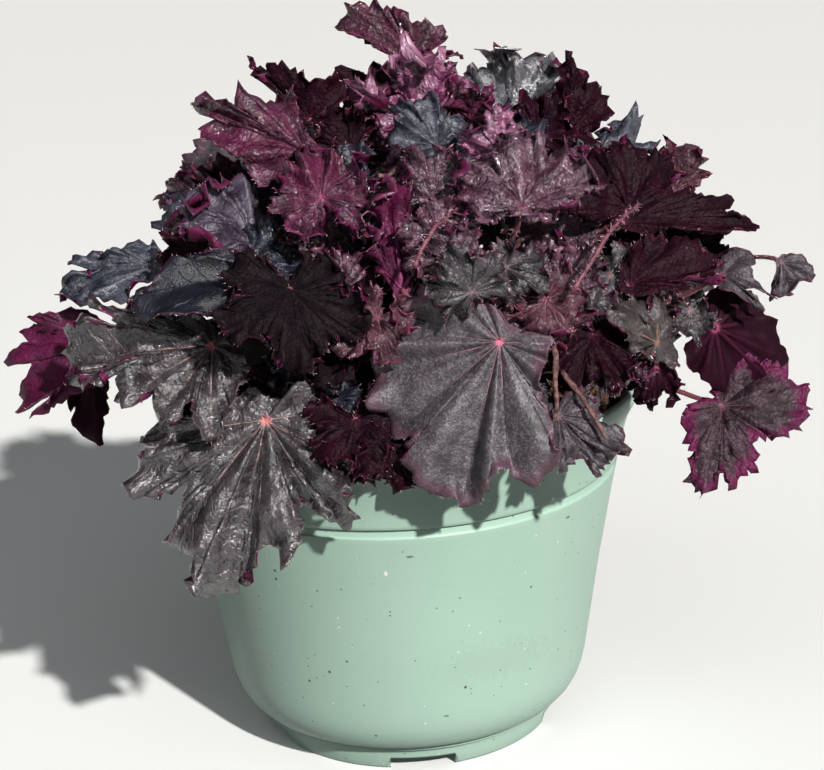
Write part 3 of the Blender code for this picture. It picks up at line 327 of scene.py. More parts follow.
# Across and down are read in the front view; the third number is the depth, y in millimetres.  An edge lists
# points round a blade whose whole outline shows, in the same view; the others take the outline of their kind.
LEAVES = [
    # Low on the front and at the left.
    Leaf("leaf_front_left", "maple", (266, 420, -90), (228, 600, -104), (-0.1, 0.3), seed=1, ruffle=0.03,
         droop=0.3, curl=-0.3, pleat=0.04, tone="slate",
         edge=((282, 398), (300, 380), (314, 396), (320, 412), (316, 436), (345, 457), (368, 478),
               (341, 487), (357, 515), (343, 531), (318, 512), (300, 484), (303, 520), (293, 558),
               (262, 543), (255, 575), (245, 583), (228, 600), (203, 588), (196, 550), (168, 545),
               (177, 518), (187, 487), (150, 495), (137, 492), (133, 474), (149, 449), (140, 437),
               (160, 422), (200, 412), (232, 398), (252, 386))),
    Leaf("leaf_front_round", "round", (500, 342, -98), (448, 500, -110), (-0.15, 0.3), seed=2,
         ruffle=0.025, droop=0.25, curl=-0.25, pleat=0.03, tone="plum",
         edge=((498, 310), (482, 299), (460, 306), (440, 283), (420, 281), (419, 300), (390, 314),
               (392, 334), (375, 358), (372, 384), (378, 416), (398, 438), (419, 441), (408, 460),
               (424, 481), (446, 500), (463, 506), (490, 490), (495, 470), (520, 478), (538, 486),
               (556, 462), (555, 440), (543, 405), (541, 378), (548, 354), (552, 337))),
    Leaf("leaf_left_upper", "maple", (212, 346, -80), (66, 364, -74), (-0.15, 0.7), seed=3, ruffle=0.03,
         droop=0.5, curl=-0.3, tone="slate",
         edge=((203, 318), (180, 318), (144, 320), (122, 333), (112, 321), (98, 318), (82, 328),
               (66, 342), (64, 358), (63, 372), (70, 383), (90, 376), (97, 390), (107, 384), (114, 370),
               (142, 364), (124, 382), (121, 404), (135, 412), (158, 403), (162, 426), (180, 419),
               (190, 402), (194, 424), (210, 437), (224, 422), (234, 396), (246, 372), (243, 350),
               (240, 330))),
    Leaf("leaf_front_low_right", "lobed", (558, 416, -101), (604, 466, -104), (0.3, 0.3), seed=4,
         ruffle=0.05, tone="plum",
         edge=((545, 428), (550, 448), (563, 478), (568, 466), (578, 454), (592, 478), (600, 466),
               (612, 470), (606, 457), (622, 458), (624, 444), (614, 431), (604, 420), (600, 404),
               (588, 394), (572, 392))),
    Leaf("leaf_left_magenta", "lobed", (116, 345, -42), (4, 362, -34), (-0.2, 0.3), seed=5, side=-1,
         ruffle=0.05, droop=-0.4, curl=0.3, tone="magenta",
         edge=((104, 320), (72, 306), (56, 315), (40, 324), (27, 318), (13, 330), (28, 340), (4, 348),
               (2, 362), (10, 369), (34, 364), (10, 386), (13, 403), (20, 418), (31, 420), (46, 402),
               (64, 389), (90, 386), (112, 372))),
    Leaf("leaf_left_hanging", "lobed", (92, 372, -36), (98, 446, -42), (-0.3, 0.2), seed=6, side=-1,
         ruffle=0.04, tone="maroon",
         edge=((76, 378), (66, 386), (75, 405), (68, 413), (71, 427), (82, 437), (102, 446), (101, 419),
               (108, 414), (105, 400), (109, 384))),
    Leaf("leaf_left_blue", "lobed", (152, 266, -36), (54, 290, -30), (-0.1, 0.9), seed=7, ruffle=0.04,
         droop=0.5, tone="navy",
         edge=((158, 244), (140, 242), (130, 250), (118, 256), (102, 268), (86, 263), (74, 268),
               (63, 279), (53, 290), (62, 296), (73, 293), (68, 304), (82, 308), (102, 306), (118, 299),
               (140, 290))),
    Leaf("leaf_left_curled", "lobed", (218, 220, -14), (150, 218, -6), (-0.1, 1.0), seed=8, ruffle=0.05,
         droop=0.7, tone="navy",
         edge=((212, 206), (195, 199), (180, 201), (164, 206), (155, 213), (149, 222), (166, 227),
               (186, 226), (206, 228))),
    Leaf("leaf_left_ruffled", "ruffled", (262, 246, -50), (172, 230, -66), (-0.1, 1.0), seed=9,
         ruffle=0.12, droop=0.5, tone="grey"),
    Leaf("leaf_left_navy", "ruffled", (276, 276, -72), (138, 302, -78), (-0.1, 1.1), seed=10, ruffle=0.03,
         droop=0.5, curl=-0.4, tone="navy",
         edge=((262, 262), (232, 260), (200, 264), (166, 272), (144, 290), (130, 310), (146, 318),
               (172, 322), (200, 321), (222, 312), (246, 300), (264, 292))),
    Leaf("leaf_left_fringed", "young", (290, 290, -82), (302, 378, -104), (0.1, 0.5), seed=11,
         ruffle=0.10, tone="maroon"),
    Leaf("leaf_low_shaded", "lobed", (352, 392, -72), (386, 486, -88), (0.2, 0.2), seed=12, ruffle=0.06,
         tone="maroon"),
    Leaf("leaf_front_pinkish", "young", (378, 318, -90), (338, 356, -96), (-0.2, 0.5), seed=13,
         ruffle=0.12, tone="pink"),
    # Upper left.
    Leaf("leaf_upper_left", "maple", (306, 152, -36), (196, 116, -24), (-0.25, 0.35), seed=14,
         ruffle=0.04, droop=0.3, tone="magenta",
         edge=((303, 128), (297, 92), (286, 94), (272, 101), (255, 100), (240, 91), (237, 100),
               (243, 113), (226, 104), (213, 98), (200, 104), (190, 105), (216, 120), (206, 122),
               (198, 134), (214, 145), (236, 159), (250, 168), (257, 188), (280, 180), (300, 188),
               (314, 184))),
    Leaf("leaf_upper_left_low", "ruffled", (322, 198, -48), (312, 148, -24), (-0.2, 0.3), seed=15,
         ruffle=0.08, width=0.9, tone="magenta"),
    Leaf("leaf_upper_left_back", "lobed", (308, 118, 0), (247, 52, 6), (-0.2, 0.1), seed=16, ruffle=0.04,
         tone="maroon",
         edge=((346, 96), (342, 78), (320, 78), (304, 75), (294, 69), (284, 65), (268, 60), (262, 68),
               (245, 50), (258, 72), (272, 92), (288, 100), (298, 120))),
    Leaf("leaf_left_small_dark", "young", (246, 214, -18), (210, 172, 8), (-0.2, 0.4), seed=17,
         ruffle=0.08, tone="maroon"),
    Leaf("leaf_left_small_red", "young", (214, 206, 8), (164, 190, 26), (-0.2, 0.4), seed=18, ruffle=0.08,
         tone="magenta"),
    # Top.
    Leaf("leaf_top", "lobed", (412, 60, -2), (386, 8, 8), (0.0, 0.5), seed=19, ruffle=0.03, droop=0.4,
         tone="maroon",
         edge=((396, 52), (370, 42), (344, 26), (329, 18), (330, 6), (352, 4), (372, 3), (392, 10),
               (404, 20), (420, 24), (436, 26), (450, 38), (467, 55), (448, 58), (430, 56))),
    Leaf("leaf_top_bright", "ruffled", (418, 122, -20), (404, 48, -38), (0.1, 0.3), seed=20, ruffle=0.10,
         side=-1, width=0.75, tone="magenta"),
    Leaf("leaf_top_bright_right", "ruffled", (446, 120, -20), (450, 64, -12), (0.2, 0.1), seed=52,
         ruffle=0.10, width=0.6, tone="magenta"),
    Leaf("leaf_top_left", "ruffled", (374, 122, -16), (362, 72, 10), (-0.2, 0.3), seed=21, ruffle=0.12,
         tone="maroon"),
    Leaf("leaf_top_grey", "lobed", (438, 146, -46), (392, 100, -42), (-0.1, 0.5), seed=22, ruffle=0.05,
         width=0.7, tone="navy"),
    Leaf("leaf_top_silver", "ruffled", (506, 132, -18), (500, 64, 18), (0.1, 0.8), seed=23, ruffle=0.10,
         width=1.2, tone="silver"),
    Leaf("leaf_top_blue", "young", (506, 146, -40), (550, 124, -34), (0.2, 0.9), seed=24, ruffle=0.06,
         tone="navy"),
    Leaf("leaf_top_crimson", "young", (498, 152, -54), (496, 106, -52), (0.0, 0.1), seed=25, ruffle=0.12,
         side=-1, tone="magenta"),
    # Upper right.
    Leaf("leaf_upper_right", "lobed", (566, 136, -14), (582, 58, -4), (0.2, 0.1), seed=26, ruffle=0.05,
         tone="maroon",
         edge=((556, 118), (554, 96), (562, 80), (567, 55), (578, 67), (590, 82), (606, 90), (611, 106),
               (600, 121), (586, 132))),
    Leaf("leaf_upper_right_grey", "ruffled", (592, 168, -20), (648, 130, -10), (0.2, 0.7), seed=27,
         ruffle=0.05, tone="grey",
         edge=((598, 150), (604, 136), (616, 125), (632, 122), (646, 130), (656, 146), (650, 162),
               (632, 168), (612, 174))),
    Leaf("leaf_upper_right_dark", "lobed", (628, 210, -32), (668, 158, -6), (0.4, 0.3), seed=28,
         ruffle=0.08, tone="maroon"),
    Leaf("leaf_upper_right_pink", "ruffled", (672, 192, 0), (684, 138, 8), (0.3, 0.0), seed=29,
         ruffle=0.08, tone="pink",
         edge=((660, 172), (660, 158), (664, 143), (674, 142), (685, 137), (691, 146), (698, 152),
               (702, 178), (694, 189))),
    Leaf("leaf_right_pointed", "lobed", (626, 222, -44), (764, 222, -36), (0.0, 0.7), seed=30,
         ruffle=0.03, droop=0.3, tone="maroon",
         edge=((640, 208), (660, 202), (682, 200), (704, 204), (732, 206), (724, 214), (742, 218),
               (765, 222), (750, 231), (726, 237), (704, 236), (686, 232), (660, 234), (640, 232))),
    # Middle of the front.
    Leaf("leaf_middle_folded", "ruffled", (522, 206, -72), (542, 138, -52), (0.0, 0.7), seed=31,
         ruffle=0.06, tone="mauve",
         edge=((468, 212), (454, 192), (452, 168), (468, 149), (488, 152), (502, 138), (530, 136),
               (545, 146), (562, 148), (586, 164), (603, 176), (596, 194), (580, 200), (576, 214),
               (552, 214))),
    Leaf("leaf_middle_upright", "ruffled", (402, 290, -76), (396, 170, -62), (0.4, 0.0), seed=32,
         ruffle=0.06, side=-1, tone="magenta",
         edge=((388, 280), (378, 262), (385, 242), (374, 220), (379, 198), (384, 180), (396, 169),
               (408, 182), (414, 200), (412, 218), (424, 238), (418, 262), (412, 280))),
    Leaf("leaf_middle_navy", "lobed", (360, 252, -54), (356, 140, -44), (-0.3, 0.1), seed=33, ruffle=0.04,
         tone="navy",
         edge=((346, 240), (337, 216), (343, 192), (335, 166), (345, 146), (358, 138), (370, 150),
               (379, 170), (371, 194), (378, 216), (372, 242))),
    Leaf("leaf_middle_grey", "young", (472, 292, -98), (448, 242, -96), (-0.2, 0.5), seed=34, ruffle=0.06,
         tone="grey"),
    Leaf("leaf_middle_toothed", "young", (506, 268, -84), (554, 292, -92), (0.1, 0.7), seed=35,
         ruffle=0.05, width=0.8, tone="slate"),
    Leaf("leaf_middle_small", "young", (524, 312, -86), (568, 344, -92), (0.2, 0.4), seed=36, ruffle=0.08,
         tone="pink"),
    Leaf("leaf_middle_mauve", "ruffled", (432, 200, -58), (450, 140, -50), (0.0, 0.2), seed=37,
         ruffle=0.10, width=0.8, tone="mauve"),
    # Right.
    Leaf("leaf_right_grey", "lobed", (630, 284, -76), (722, 266, -66), (0.1, 0.7), seed=38, ruffle=0.05,
         tone="grey",
         edge=((622, 262), (632, 246), (650, 240), (668, 246), (690, 244), (706, 255), (722, 270),
               (723, 286), (706, 283), (692, 292), (676, 286), (660, 294), (644, 298))),
    Leaf("leaf_right_olive", "lobed", (657, 343, -80), (606, 318, -86), (0.0, 0.5), seed=39, ruffle=0.05,
         tone="olive",
         edge=((682, 322), (680, 345), (681, 362), (664, 363), (646, 358), (628, 346), (614, 330),
               (604, 318), (612, 308), (626, 300), (640, 306), (652, 298), (670, 306))),
    Leaf("leaf_right_shaded", "lobed", (590, 322, -54), (626, 386, -74), (0.2, 0.5), seed=46, ruffle=0.05,
         width=0.9, tone="maroon"),
    Leaf("leaf_left_shaded", "lobed", (316, 330, -50), (330, 398, -62), (0.0, 0.3), seed=47, ruffle=0.05,
         width=0.9, tone="navy"),
    Leaf("leaf_right_lobe", "young", (690, 310, -68), (698, 346, -72), (0.2, 0.6), seed=40, ruffle=0.05,
         width=0.7, tone="grey"),
    Leaf("leaf_right_under", "young", (656, 364, -76), (668, 404, -82), (0.2, 0.3), seed=41, side=-1,
         ruffle=0.04, tone="maroon",
         edge=((642, 366), (640, 394), (648, 405), (656, 394), (666, 391), (680, 402), (679, 388),
               (686, 385), (674, 370))),
    Leaf("leaf_right_round", "round", (714, 328, -42), (770, 396, -40), (0.2, 0.25), seed=42, side=-1,
         droop=-0.5, curl=0.4, ruffle=0.02, tone="plumback",
         edge=((706, 300), (722, 284), (742, 286), (760, 302), (776, 322), (786, 342), (789, 362),
               (783, 384), (770, 398), (748, 402), (726, 402), (710, 384), (692, 372), (686, 350),
               (698, 334))),
    Leaf("leaf_right_curled", "lobed", (781, 262, -26), (790, 302, -30), (0.2, 0.4), seed=43, ruffle=0.04,
         droop=0.7, tone="grey",
         edge=((782, 254), (795, 253), (806, 258), (813, 272), (812, 285), (800, 287), (790, 300),
               (777, 305), (768, 302), (775, 289), (776, 272))),
    Leaf("leaf_right_fold", "lobed", (722, 274, -40), (768, 290, -44), (0.1, 0.8), seed=44, ruffle=0.04,
         droop=0.7, tone="grey",
         edge=((716, 260), (734, 250), (750, 254), (756, 262), (750, 274), (766, 290), (774, 300),
               (766, 312), (754, 300), (742, 289), (732, 294), (720, 290))),
    Leaf("leaf_right_low", "maple", (722, 406, -48), (772, 446, -56), (0.1, 0.35), seed=45, ruffle=0.03,
         droop=0.3, tone="mauve",
         edge=((720, 420), (712, 440), (698, 457), (692, 472), (695, 487), (708, 480), (706, 501),
               (730, 492), (730, 476), (750, 470), (752, 452), (748, 441), (764, 434), (786, 434),
               (788, 416), (804, 421), (820, 405), (806, 408), (813, 385), (798, 383), (778, 393),
               (758, 400), (738, 402))),
]

# Young leaves that grow straight out of the crown: joint, tip and the way each faces.
YOUNG_PLACES = (
    ((398, 226, -40), (384, 160, -30), (-0.2, 0.4)),
    ((440, 246, -58), (436, 186, -52), (0.1, 0.4)),
    ((352, 236, -36), (318, 208, -32), (-0.2, 0.5)),
    ((556, 300, -64), (596, 246, -52), (0.3, 0.5)),
    ((474, 160, -16), (470, 108, -8), (0.1, 0.4)),
    ((340, 290, -50), (316, 246, -44), (-0.2, 0.5)),
    ((590, 250, -20), (600, 206, -6), (0.2, 0.5)),
    ((436, 170, 30), (400, 128, 40), (-0.1, 0.4)),
    ((610, 230, 30), (650, 196, 40), (0.2, 0.6)),
    ((280, 250, 10), (240, 214, 20), (-0.2, 0.6)),
)
YOUNG_SEED = 71
YOUNG = [Leaf(f"young_{i + 1}", "young", *row, seed=YOUNG_SEED + i, ruffle=0.08, tone="mauve")
         for i, row in enumerate(YOUNG_PLACES)]

# The leaves behind and at the sides stand by rule: how far out and how high the stalk ends, the blade's
# length and how much it rises outwards, for each tier.  The lesser ones have their turn in degrees first.
BACK_COUNT = 9
BACK_FIRST = 8.0
BACK_SWEEP = 164.0
BACK_TIERS = ((80.0, 160.0, 56.0, 0.30), (52.0, 214.0, 50.0, 0.75), (68.0, 188.0, 54.0, 0.50))
SIDES = ((-14.0, 66.0, 160.0, 40.0, 0.35), (194.0, 66.0, 162.0, 40.0, 0.35), (-30.0, 50.0, 190.0, 34.0, 0.6),
         (186.0, 54.0, 186.0, 34.0, 0.6), (64.0, 34.0, 232.0, 34.0, 0.9), (118.0, 30.0, 236.0, 34.0, 0.9))
# How far such a blade runs out and how far it falls, how much it faces outwards, and what a shift of one
# millimetre adds to its turn in degrees and to its height.
RULE_OUT = 0.9
RULE_FALL = 0.75
RULE_FACE = 0.55
RULE_TURN = 0.8
RULE_LIFT = 0.3


def ruled_leaf(name, kind, seed, tone, turn, rule):
    """A leaf that stands by rule, at an angle round the pot in degrees."""
    leaf = Leaf(name, kind, None, None, seed=seed, ruffle=0.06, droop=0.6, curl=-0.3, tone=tone)
    leaf.rule = (math.radians(turn), *rule)
    return leaf


def back_leaf(i):
    """A leaf round the back, in one of three tiers that overlap like shingles."""
    turn = BACK_FIRST + BACK_SWEEP * i / (BACK_COUNT - 1)
    return ruled_leaf(f"leaf_back_{i + 1:02d}", ("broad", "maple", "broad")[i * 2 % 3], 60 + i,
                      ("grey", "maroon", "navy", "plum")[i % 4], turn, BACK_TIERS[i % len(BACK_TIERS)])


def side_leaf(i):
    """A lesser leaf at one side or behind, which grows straight out of the crown."""
    return ruled_leaf(f"young_side_{i + 1}", "broad", 90 + i, "mauve", SIDES[i][0], SIDES[i][1:])


def locate_ruled(leaf):
    """World frame and size of a blade that stands by rule."""
    turn, out, high, length, rise = leaf.rule
    turn += math.radians(RULE_TURN * leaf.shift * (-1 if turn > math.pi / 2 else 1))
    radial = np.array([math.cos(turn), math.sin(turn), 0.0])
    z = np.array([0.0, 0.0, 1.0])
    leaf.joint = radial * (out + leaf.shift) + z * (high + leaf.shift * RULE_LIFT)
    way = unit(radial * RULE_OUT + z * (rise - RULE_FALL))
    normal = unit(z + radial * RULE_FACE)
    normal = unit(normal - way * normal.dot(way))
    normal, way = leaf.turned(normal, way)
    across = np.cross(normal, way)
    leaf.length = length * leaf.shrink
    leaf.frame = np.array([way, across, normal])


def place(leaf):
    """Gives a leaf its frame and its size, by its row in the tables or by rule."""
    if leaf.joint_view is None:
        locate_ruled(leaf)
    else:
        leaf.locate()


def crown_profile(steps):
    """Radius and height down the crown: a dome in so many steps, then its side down into the soil's hole."""
    profile = [(0.0, CROWN_TOP)]
    for k in range(1, steps + 1):
        a = math.radians(90.0 - 90.0 * k / steps)
        profile.append((CROWN_RADIUS * math.cos(a), CROWN_SHOULDER + CROWN_DOME * math.sin(a)))
    floor = SOIL_TOP - SOIL_HOLE_DEPTH
    return profile + [(CROWN_RADIUS * CROWN_FOOT, floor + 1.0), (0.0, floor + GAP)]


def crown_tree():
    """The crown's plain dome, for the rays that find where each stalk stands on it."""
    points, faces = turned_mesh(crown_profile(CROWN_BANDS), CROWN_STEPS)
    return BVHTree.FromPolygons(points.tolist(), faces)


def crown_point(tree, way):
    """Where a ray from inside the crown leaves it, and the way the face there looks."""
    hit, normal, _, _ = tree.ray_cast(Vector((0.0, 0.0, CROWN_SHOULDER + 2.0)), Vector(way))
    normal = np.array(normal)
    return np.array(hit), normal if normal.dot(way) > 0 else -normal


def spread_feet(leaves):
    """Shares the crown out among the stalks: each heads for its blade, and pushes its neighbours away."""
    ways = []
    for leaf in leaves:
        place(leaf)
        aim = leaf.joint - np.array([0.0, 0.0, STALK_AIM])
        flat = math.hypot(aim[0], aim[1])
        rise = math.atan2(aim[2], flat)
        rise = min(max(rise, LEAST_RISE), MOST_RISE)
        turn = math.atan2(aim[1], aim[0])
        ways.append([math.cos(turn) * math.cos(rise), math.sin(turn) * math.cos(rise), math.sin(rise)])
    ways = np.array(ways)
    for _ in range(PUSH_ROUNDS):
        apart = ways[:, None] - ways[None]
        far = np.linalg.norm(apart, axis=2) + np.eye(len(ways)) * 9
        push = np.clip(FEET_APART - far, 0.0, None)[..., None] * apart / far[..., None]
        ways = ways + PUSH_SHARE * push.sum(1)
        ways[:, 2] = np.clip(ways[:, 2], LOWEST_FOOT, None)
        ways /= np.linalg.norm(ways, axis=1, keepdims=True)
    tree = crown_tree()
    for leaf, way in zip(leaves, ways):
        hit, normal = crown_point(tree, way)
        leaf.base = hit + normal * GAP
        leaf.base_way = normal


def bezier(p0, p1, p2, p3, t):
    """Points of the curve from p0 to p3 that p1 and p2 pull on."""
    t = t[:, None]
    return (1 - t) ** 3 * p0 + 3 * (1 - t) ** 2 * t * p1 + 3 * (1 - t) * t * t * p2 + t ** 3 * p3


def stalk_line(leaf, count):
    """The stalk's centre line, from under the blade down to its foot on the crown."""
    normal = leaf.frame[2]
    away = unit(-normal * STALK_DOWN - leaf.frame[0] * STALK_BACK)
    reach = np.linalg.norm(leaf.joint - leaf.base)
    p1 = leaf.joint + away * reach * BLADE_PULL
    p2 = leaf.base + leaf.base_way * reach * FOOT_PULL
    t = np.linspace(0.0, 1.0, count)
    line = bezier(leaf.joint, p1, p2, leaf.base, t)
    across = unit(np.cross(leaf.base - leaf.joint, np.array([0.0, 0.0, 1.0])) + np.array([1e-6, 0, 0]))
    lift = unit(np.cross(across, leaf.base - leaf.joint))
    hump = (16 * (t * (1 - t)) ** 2)[:, None]
    return line + hump * (across * leaf.sway[0] + lift * leaf.sway[1])


def poses():
    """The small changes of place that the part tries in turn."""
    rng = np.random.default_rng(7)
    yield 0.0, 0.0, 0.0, 1.0
    shift, turn, nod, shrink = POSE_MOST
    for k in range(POSE_TRIES):
        reach = 1.0 + k / 16.0
        yield (rng.uniform(-shift, shift) * reach, math.radians(rng.uniform(-turn, turn) * reach),
               math.radians(rng.uniform(-nod, nod) * reach), 1.0 - rng.uniform(0.0, shrink) * reach)


def sways():
    """The ways to lead a stalk aside that the part tries in turn."""
    rng = np.random.default_rng(11)
    yield 0.0, 0.0
    for k in range(SWAY_TRIES):
        yield tuple(rng.uniform(-1.0, 1.0, 2) * (SWAY_FIRST + k * SWAY_STEP))


def off(spots, corners, far):
    """How far, at worst among most of the spots, the nearest corner misses lying at distance far."""
    apart = np.sqrt(((spots[:, None] - corners[None]) ** 2).sum(2).min(1))
    return np.quantile(abs(apart - far), 0.6)


def settle(leaf, corners):
    """Finds the place the part gave this leaf: the first one whose edge and stalk lie on its corners."""
    place(leaf)
    low, high = corners.min(0), corners.max(0)
    for pose in poses():
        leaf.shift, leaf.turn, leaf.nod, leaf.shrink = pose
        place(leaf)
        edge = leaf.spot(leaf.key_angles, np.ones(len(leaf.key_angles)), leaf.key_radii)
        if (edge.min(0) > low - EDGE_ROOM).all() and (edge.max(0) < high + EDGE_ROOM).all():
            if off(edge, corners, BLADE_THICKNESS / 2) < SAME:
                break
    else:
        raise RuntimeError(f"the part holds no leaf like {leaf.name}")
    t = np.linspace(0.0, 1.0, STALK_RINGS)[1:-1]
    wide = leaf.stalk_radius() * (1.0 + STALK_SPREAD * t ** 2)
    for leaf.sway in sways():
        if off(stalk_line(leaf, STALK_RINGS)[1:-1], corners, wide) < SAME:
            break
    else:
        raise RuntimeError(f"the part holds no stalk like that of {leaf.name}")


def corners_of(node):
    """The corners of a node of the part, in millimetres from the pot's axis."""
    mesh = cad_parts[node].data
    places = np.empty(len(mesh.vertices) * 3)
    mesh.vertices.foreach_get("co", places)
    return np.unique(np.round(places.reshape(-1, 3) / MM - POT_AXIS, 4), axis=0)


# The blade that is drawn: its thickness, the length past which it counts as large, the width between the
# rings of its mesh, and where the margin's roll starts and how much it is for each millimetre of wave.
LEAF_THICKNESS = 0.42
LARGE_BLADE = 52.0
RING_WIDTH = 2.7
LEAST_RINGS = 8
ROLL_START = 0.8
ROLL_OF_WAVE = 0.45
# A tooth: how far each of its points stands out, how unevenly teeth follow each other, how far to each side
# the margin's way is read, in millimetres, and the fewest teeth.
TOOTH_LARGE = (-0.5, 0.0, 0.75, 0.1)
TOOTH_SMALL = (-0.5, 0.15, 0.8)
TOOTH_UNEVEN = 0.22
TOOTH_LOOK = 0.8
LEAST_TEETH = 14
# The side veins: how far apart and how slanted; then how deep and wide the main veins lie in the upper side,
# and how high and wide their ribs stand under the blade.
SIDE_VEINS = 6.2
SIDE_VEIN_LEAN = 0.75
VEIN_SINK = 0.4
VEIN_WIDTH = 1.1
RIB_HEIGHT = 0.75
RIB_WIDTH = 0.8
# Crumples: each a wave across the whole blade, with its length, its lean and its part of the depth.  They and
# the margin's waves fade towards the stalk by these powers of the share of the reach.
CRUMPLES = ((23.0, 0.4, 0.6), (15.0, 1.7, 0.45), (9.5, 2.6, 0.28), (7.1, 0.9, 0.18))
CRUMPLE_RISE = 0.8
WAVE_RISE = 5

# Margins that roll over: where in the front view, the half width in degrees, the share of the reach at which
# the roll starts, and the turn in radians towards the upper side.
ROLLS = {
    "leaf_left_ruffled": (((205, 280), 55.0, 0.74, 2.0),),
    "leaf_right_curled": (((800, 300), 40.0, 0.60, 2.2),),
}
# The main veins and scallops of a round blade, and how far apart the main veins of a lobed one stay.
ROUND_VEINS = 11
ROUND_VEIN_SPREAD = math.radians(140.0)
UNEVEN_VEINS = 0.09
SCALLOP_WIDTH = 15.0
SCALLOP_DEPTH = 2.6
VEINS_APART = math.radians(24.0)
SPARE_APART = 1.3 * VEINS_APART
LEAST_VEINS = 5
SPARE_VEINS = np.radians((40.0, -40.0, 80.0, -80.0, 120.0, -120.0))
# Leaves whose traced lobes are so thin in the view that they are widened, and by how many degrees.
EASED = ("leaf_right_low",)
LOBE_EASE = 4
# The stalk's tube: points round it, lengths along it, how far its foot is sunk, its share of the radius at
# the top, how much it swells there at the hub and how soon that fades, for each length.
STALK_ROUND = 10
STALK_LENGTHS = 22
STALK_SINK = 1.5
STALK_TOP = 0.92
HUB_SWELL = 0.25
HUB_FADE = 1.2
# Hairs, in metres as the node trees take them; a real hair is 0.05 mm thick and is drawn coarser to show.
STALK_HAIR = {"Count to a square metre": 450000.0, "Length": 0.0018, "Thickness": 0.00007, "Lean": 0.5}
MARGIN_HAIR = {"Count to a square metre": 700000.0, "Length": 0.0012, "Thickness": 0.00008, "Lean": 0.5}
# Hairs stand on this many lengths of a stalk from its blade, with lengths scaled between these two.
HAIRY_LENGTHS = 12
HAIR_SCALES = (0.45, 1.25)
# What lies on the soil, in metres too, with the least and most it is stretched, and between which radii.
SOIL_CRUMBS = {"Count to a square metre": 100000.0, "Thickness": 0.0026}
SOIL_PERLITE = {"Count to a square metre": 4000.0, "Thickness": 0.0019}
CRUMB_SCALES = ((0.4, 0.3, 0.2), (1.3, 1.0, 0.9))
SOIL_REACH = (22.0, 88.0)


def smooth(low, high, value):
    """0 below low, 1 above high, and a soft step between."""
    t = np.clip((value - low) / (high - low), 0.0, 1.0)
    return t * t * (3.0 - 2.0 * t)


def curve_through(points, steps=10):
    """A smooth closed curve through points, as many spots a span as steps."""
    before, after, far = np.roll(points, 1, 0), np.roll(points, -1, 0), np.roll(points, -2, 0)
    t = (np.arange(steps) / steps)[None, :, None]
    p0, p1, p2, p3 = (p[:, None] for p in (before, points, after, far))
    line = 0.5 * (2 * p1 + (p2 - p0) * t + (2 * p0 - 5 * p1 + 4 * p2 - p3) * t ** 2
                  + (3 * p1 - p0 - 3 * p2 + p3) * t ** 3)
    straight = p1 + (p2 - p1) * t
    return (0.75 * line + 0.25 * straight).reshape(-1, 2)


def half_turned(angle):
    """The same angle between minus and plus half a turn."""
    return (angle + math.pi) % math.tau - math.pi


def main_veins(leaf):
    """The angles of the main veins on the flat blade, one to each lobe."""
    if leaf.kind_name == "round":
        turns = np.linspace(-ROUND_VEIN_SPREAD, ROUND_VEIN_SPREAD, ROUND_VEINS)
        return turns + UNEVEN_VEINS * np.sin(2.3 * np.arange(ROUND_VEINS) + leaf.phases[1])
    if not leaf.edge:
        half = leaf.kind["lobes"] // 2
        angles = leaf.step * np.arange(-half, half + 1)
        return np.arctan2(np.sin(angles) * leaf.width, np.cos(angles))
    radii = leaf.key_radii
    peaks = np.flatnonzero((radii > np.roll(radii, 1)) & (radii >= np.roll(radii, -1)))
    chosen = [0.0]
    for i in sorted(peaks, key=lambda i: -radii[i]):
        angle = half_turned(leaf.key_angles[i])
        if all(abs(half_turned(angle - other)) > VEINS_APART for other in chosen):
            chosen.append(angle)
    for angle in SPARE_VEINS:
        clear = all(abs(half_turned(angle - other)) > SPARE_APART for other in chosen)
        if clear and len(chosen) < LEAST_VEINS:
            chosen.append(angle)
    return np.sort(chosen)


def eased_keys(leaf):
    """The outline's key points, with the thin spikes of a traced edge widened into lobes."""
    if leaf.name not in EASED:
        return leaf.key_angles, leaf.key_radii
    degrees = np.arange(-180, 180)
    radii = np.interp(np.radians(degrees), leaf.key_angles, leaf.key_radii, period=math.tau)
    steps = range(-LOBE_EASE, LOBE_EASE + 1)
    wide = np.max([np.roll(radii, k) for k in steps], 0)
    weights = np.hanning(len(steps) + 2)[1:-1]
    eased = sum(w * np.roll(wide, k) for w, k in zip(weights, steps)) / weights.sum()
    near_notch = smooth(0.2, 0.45, radii)
    eased = radii * (1.0 - near_notch) + eased * near_notch
    chosen = np.arange(0, 360, 5)
    return np.radians(degrees[chosen]), eased[chosen]


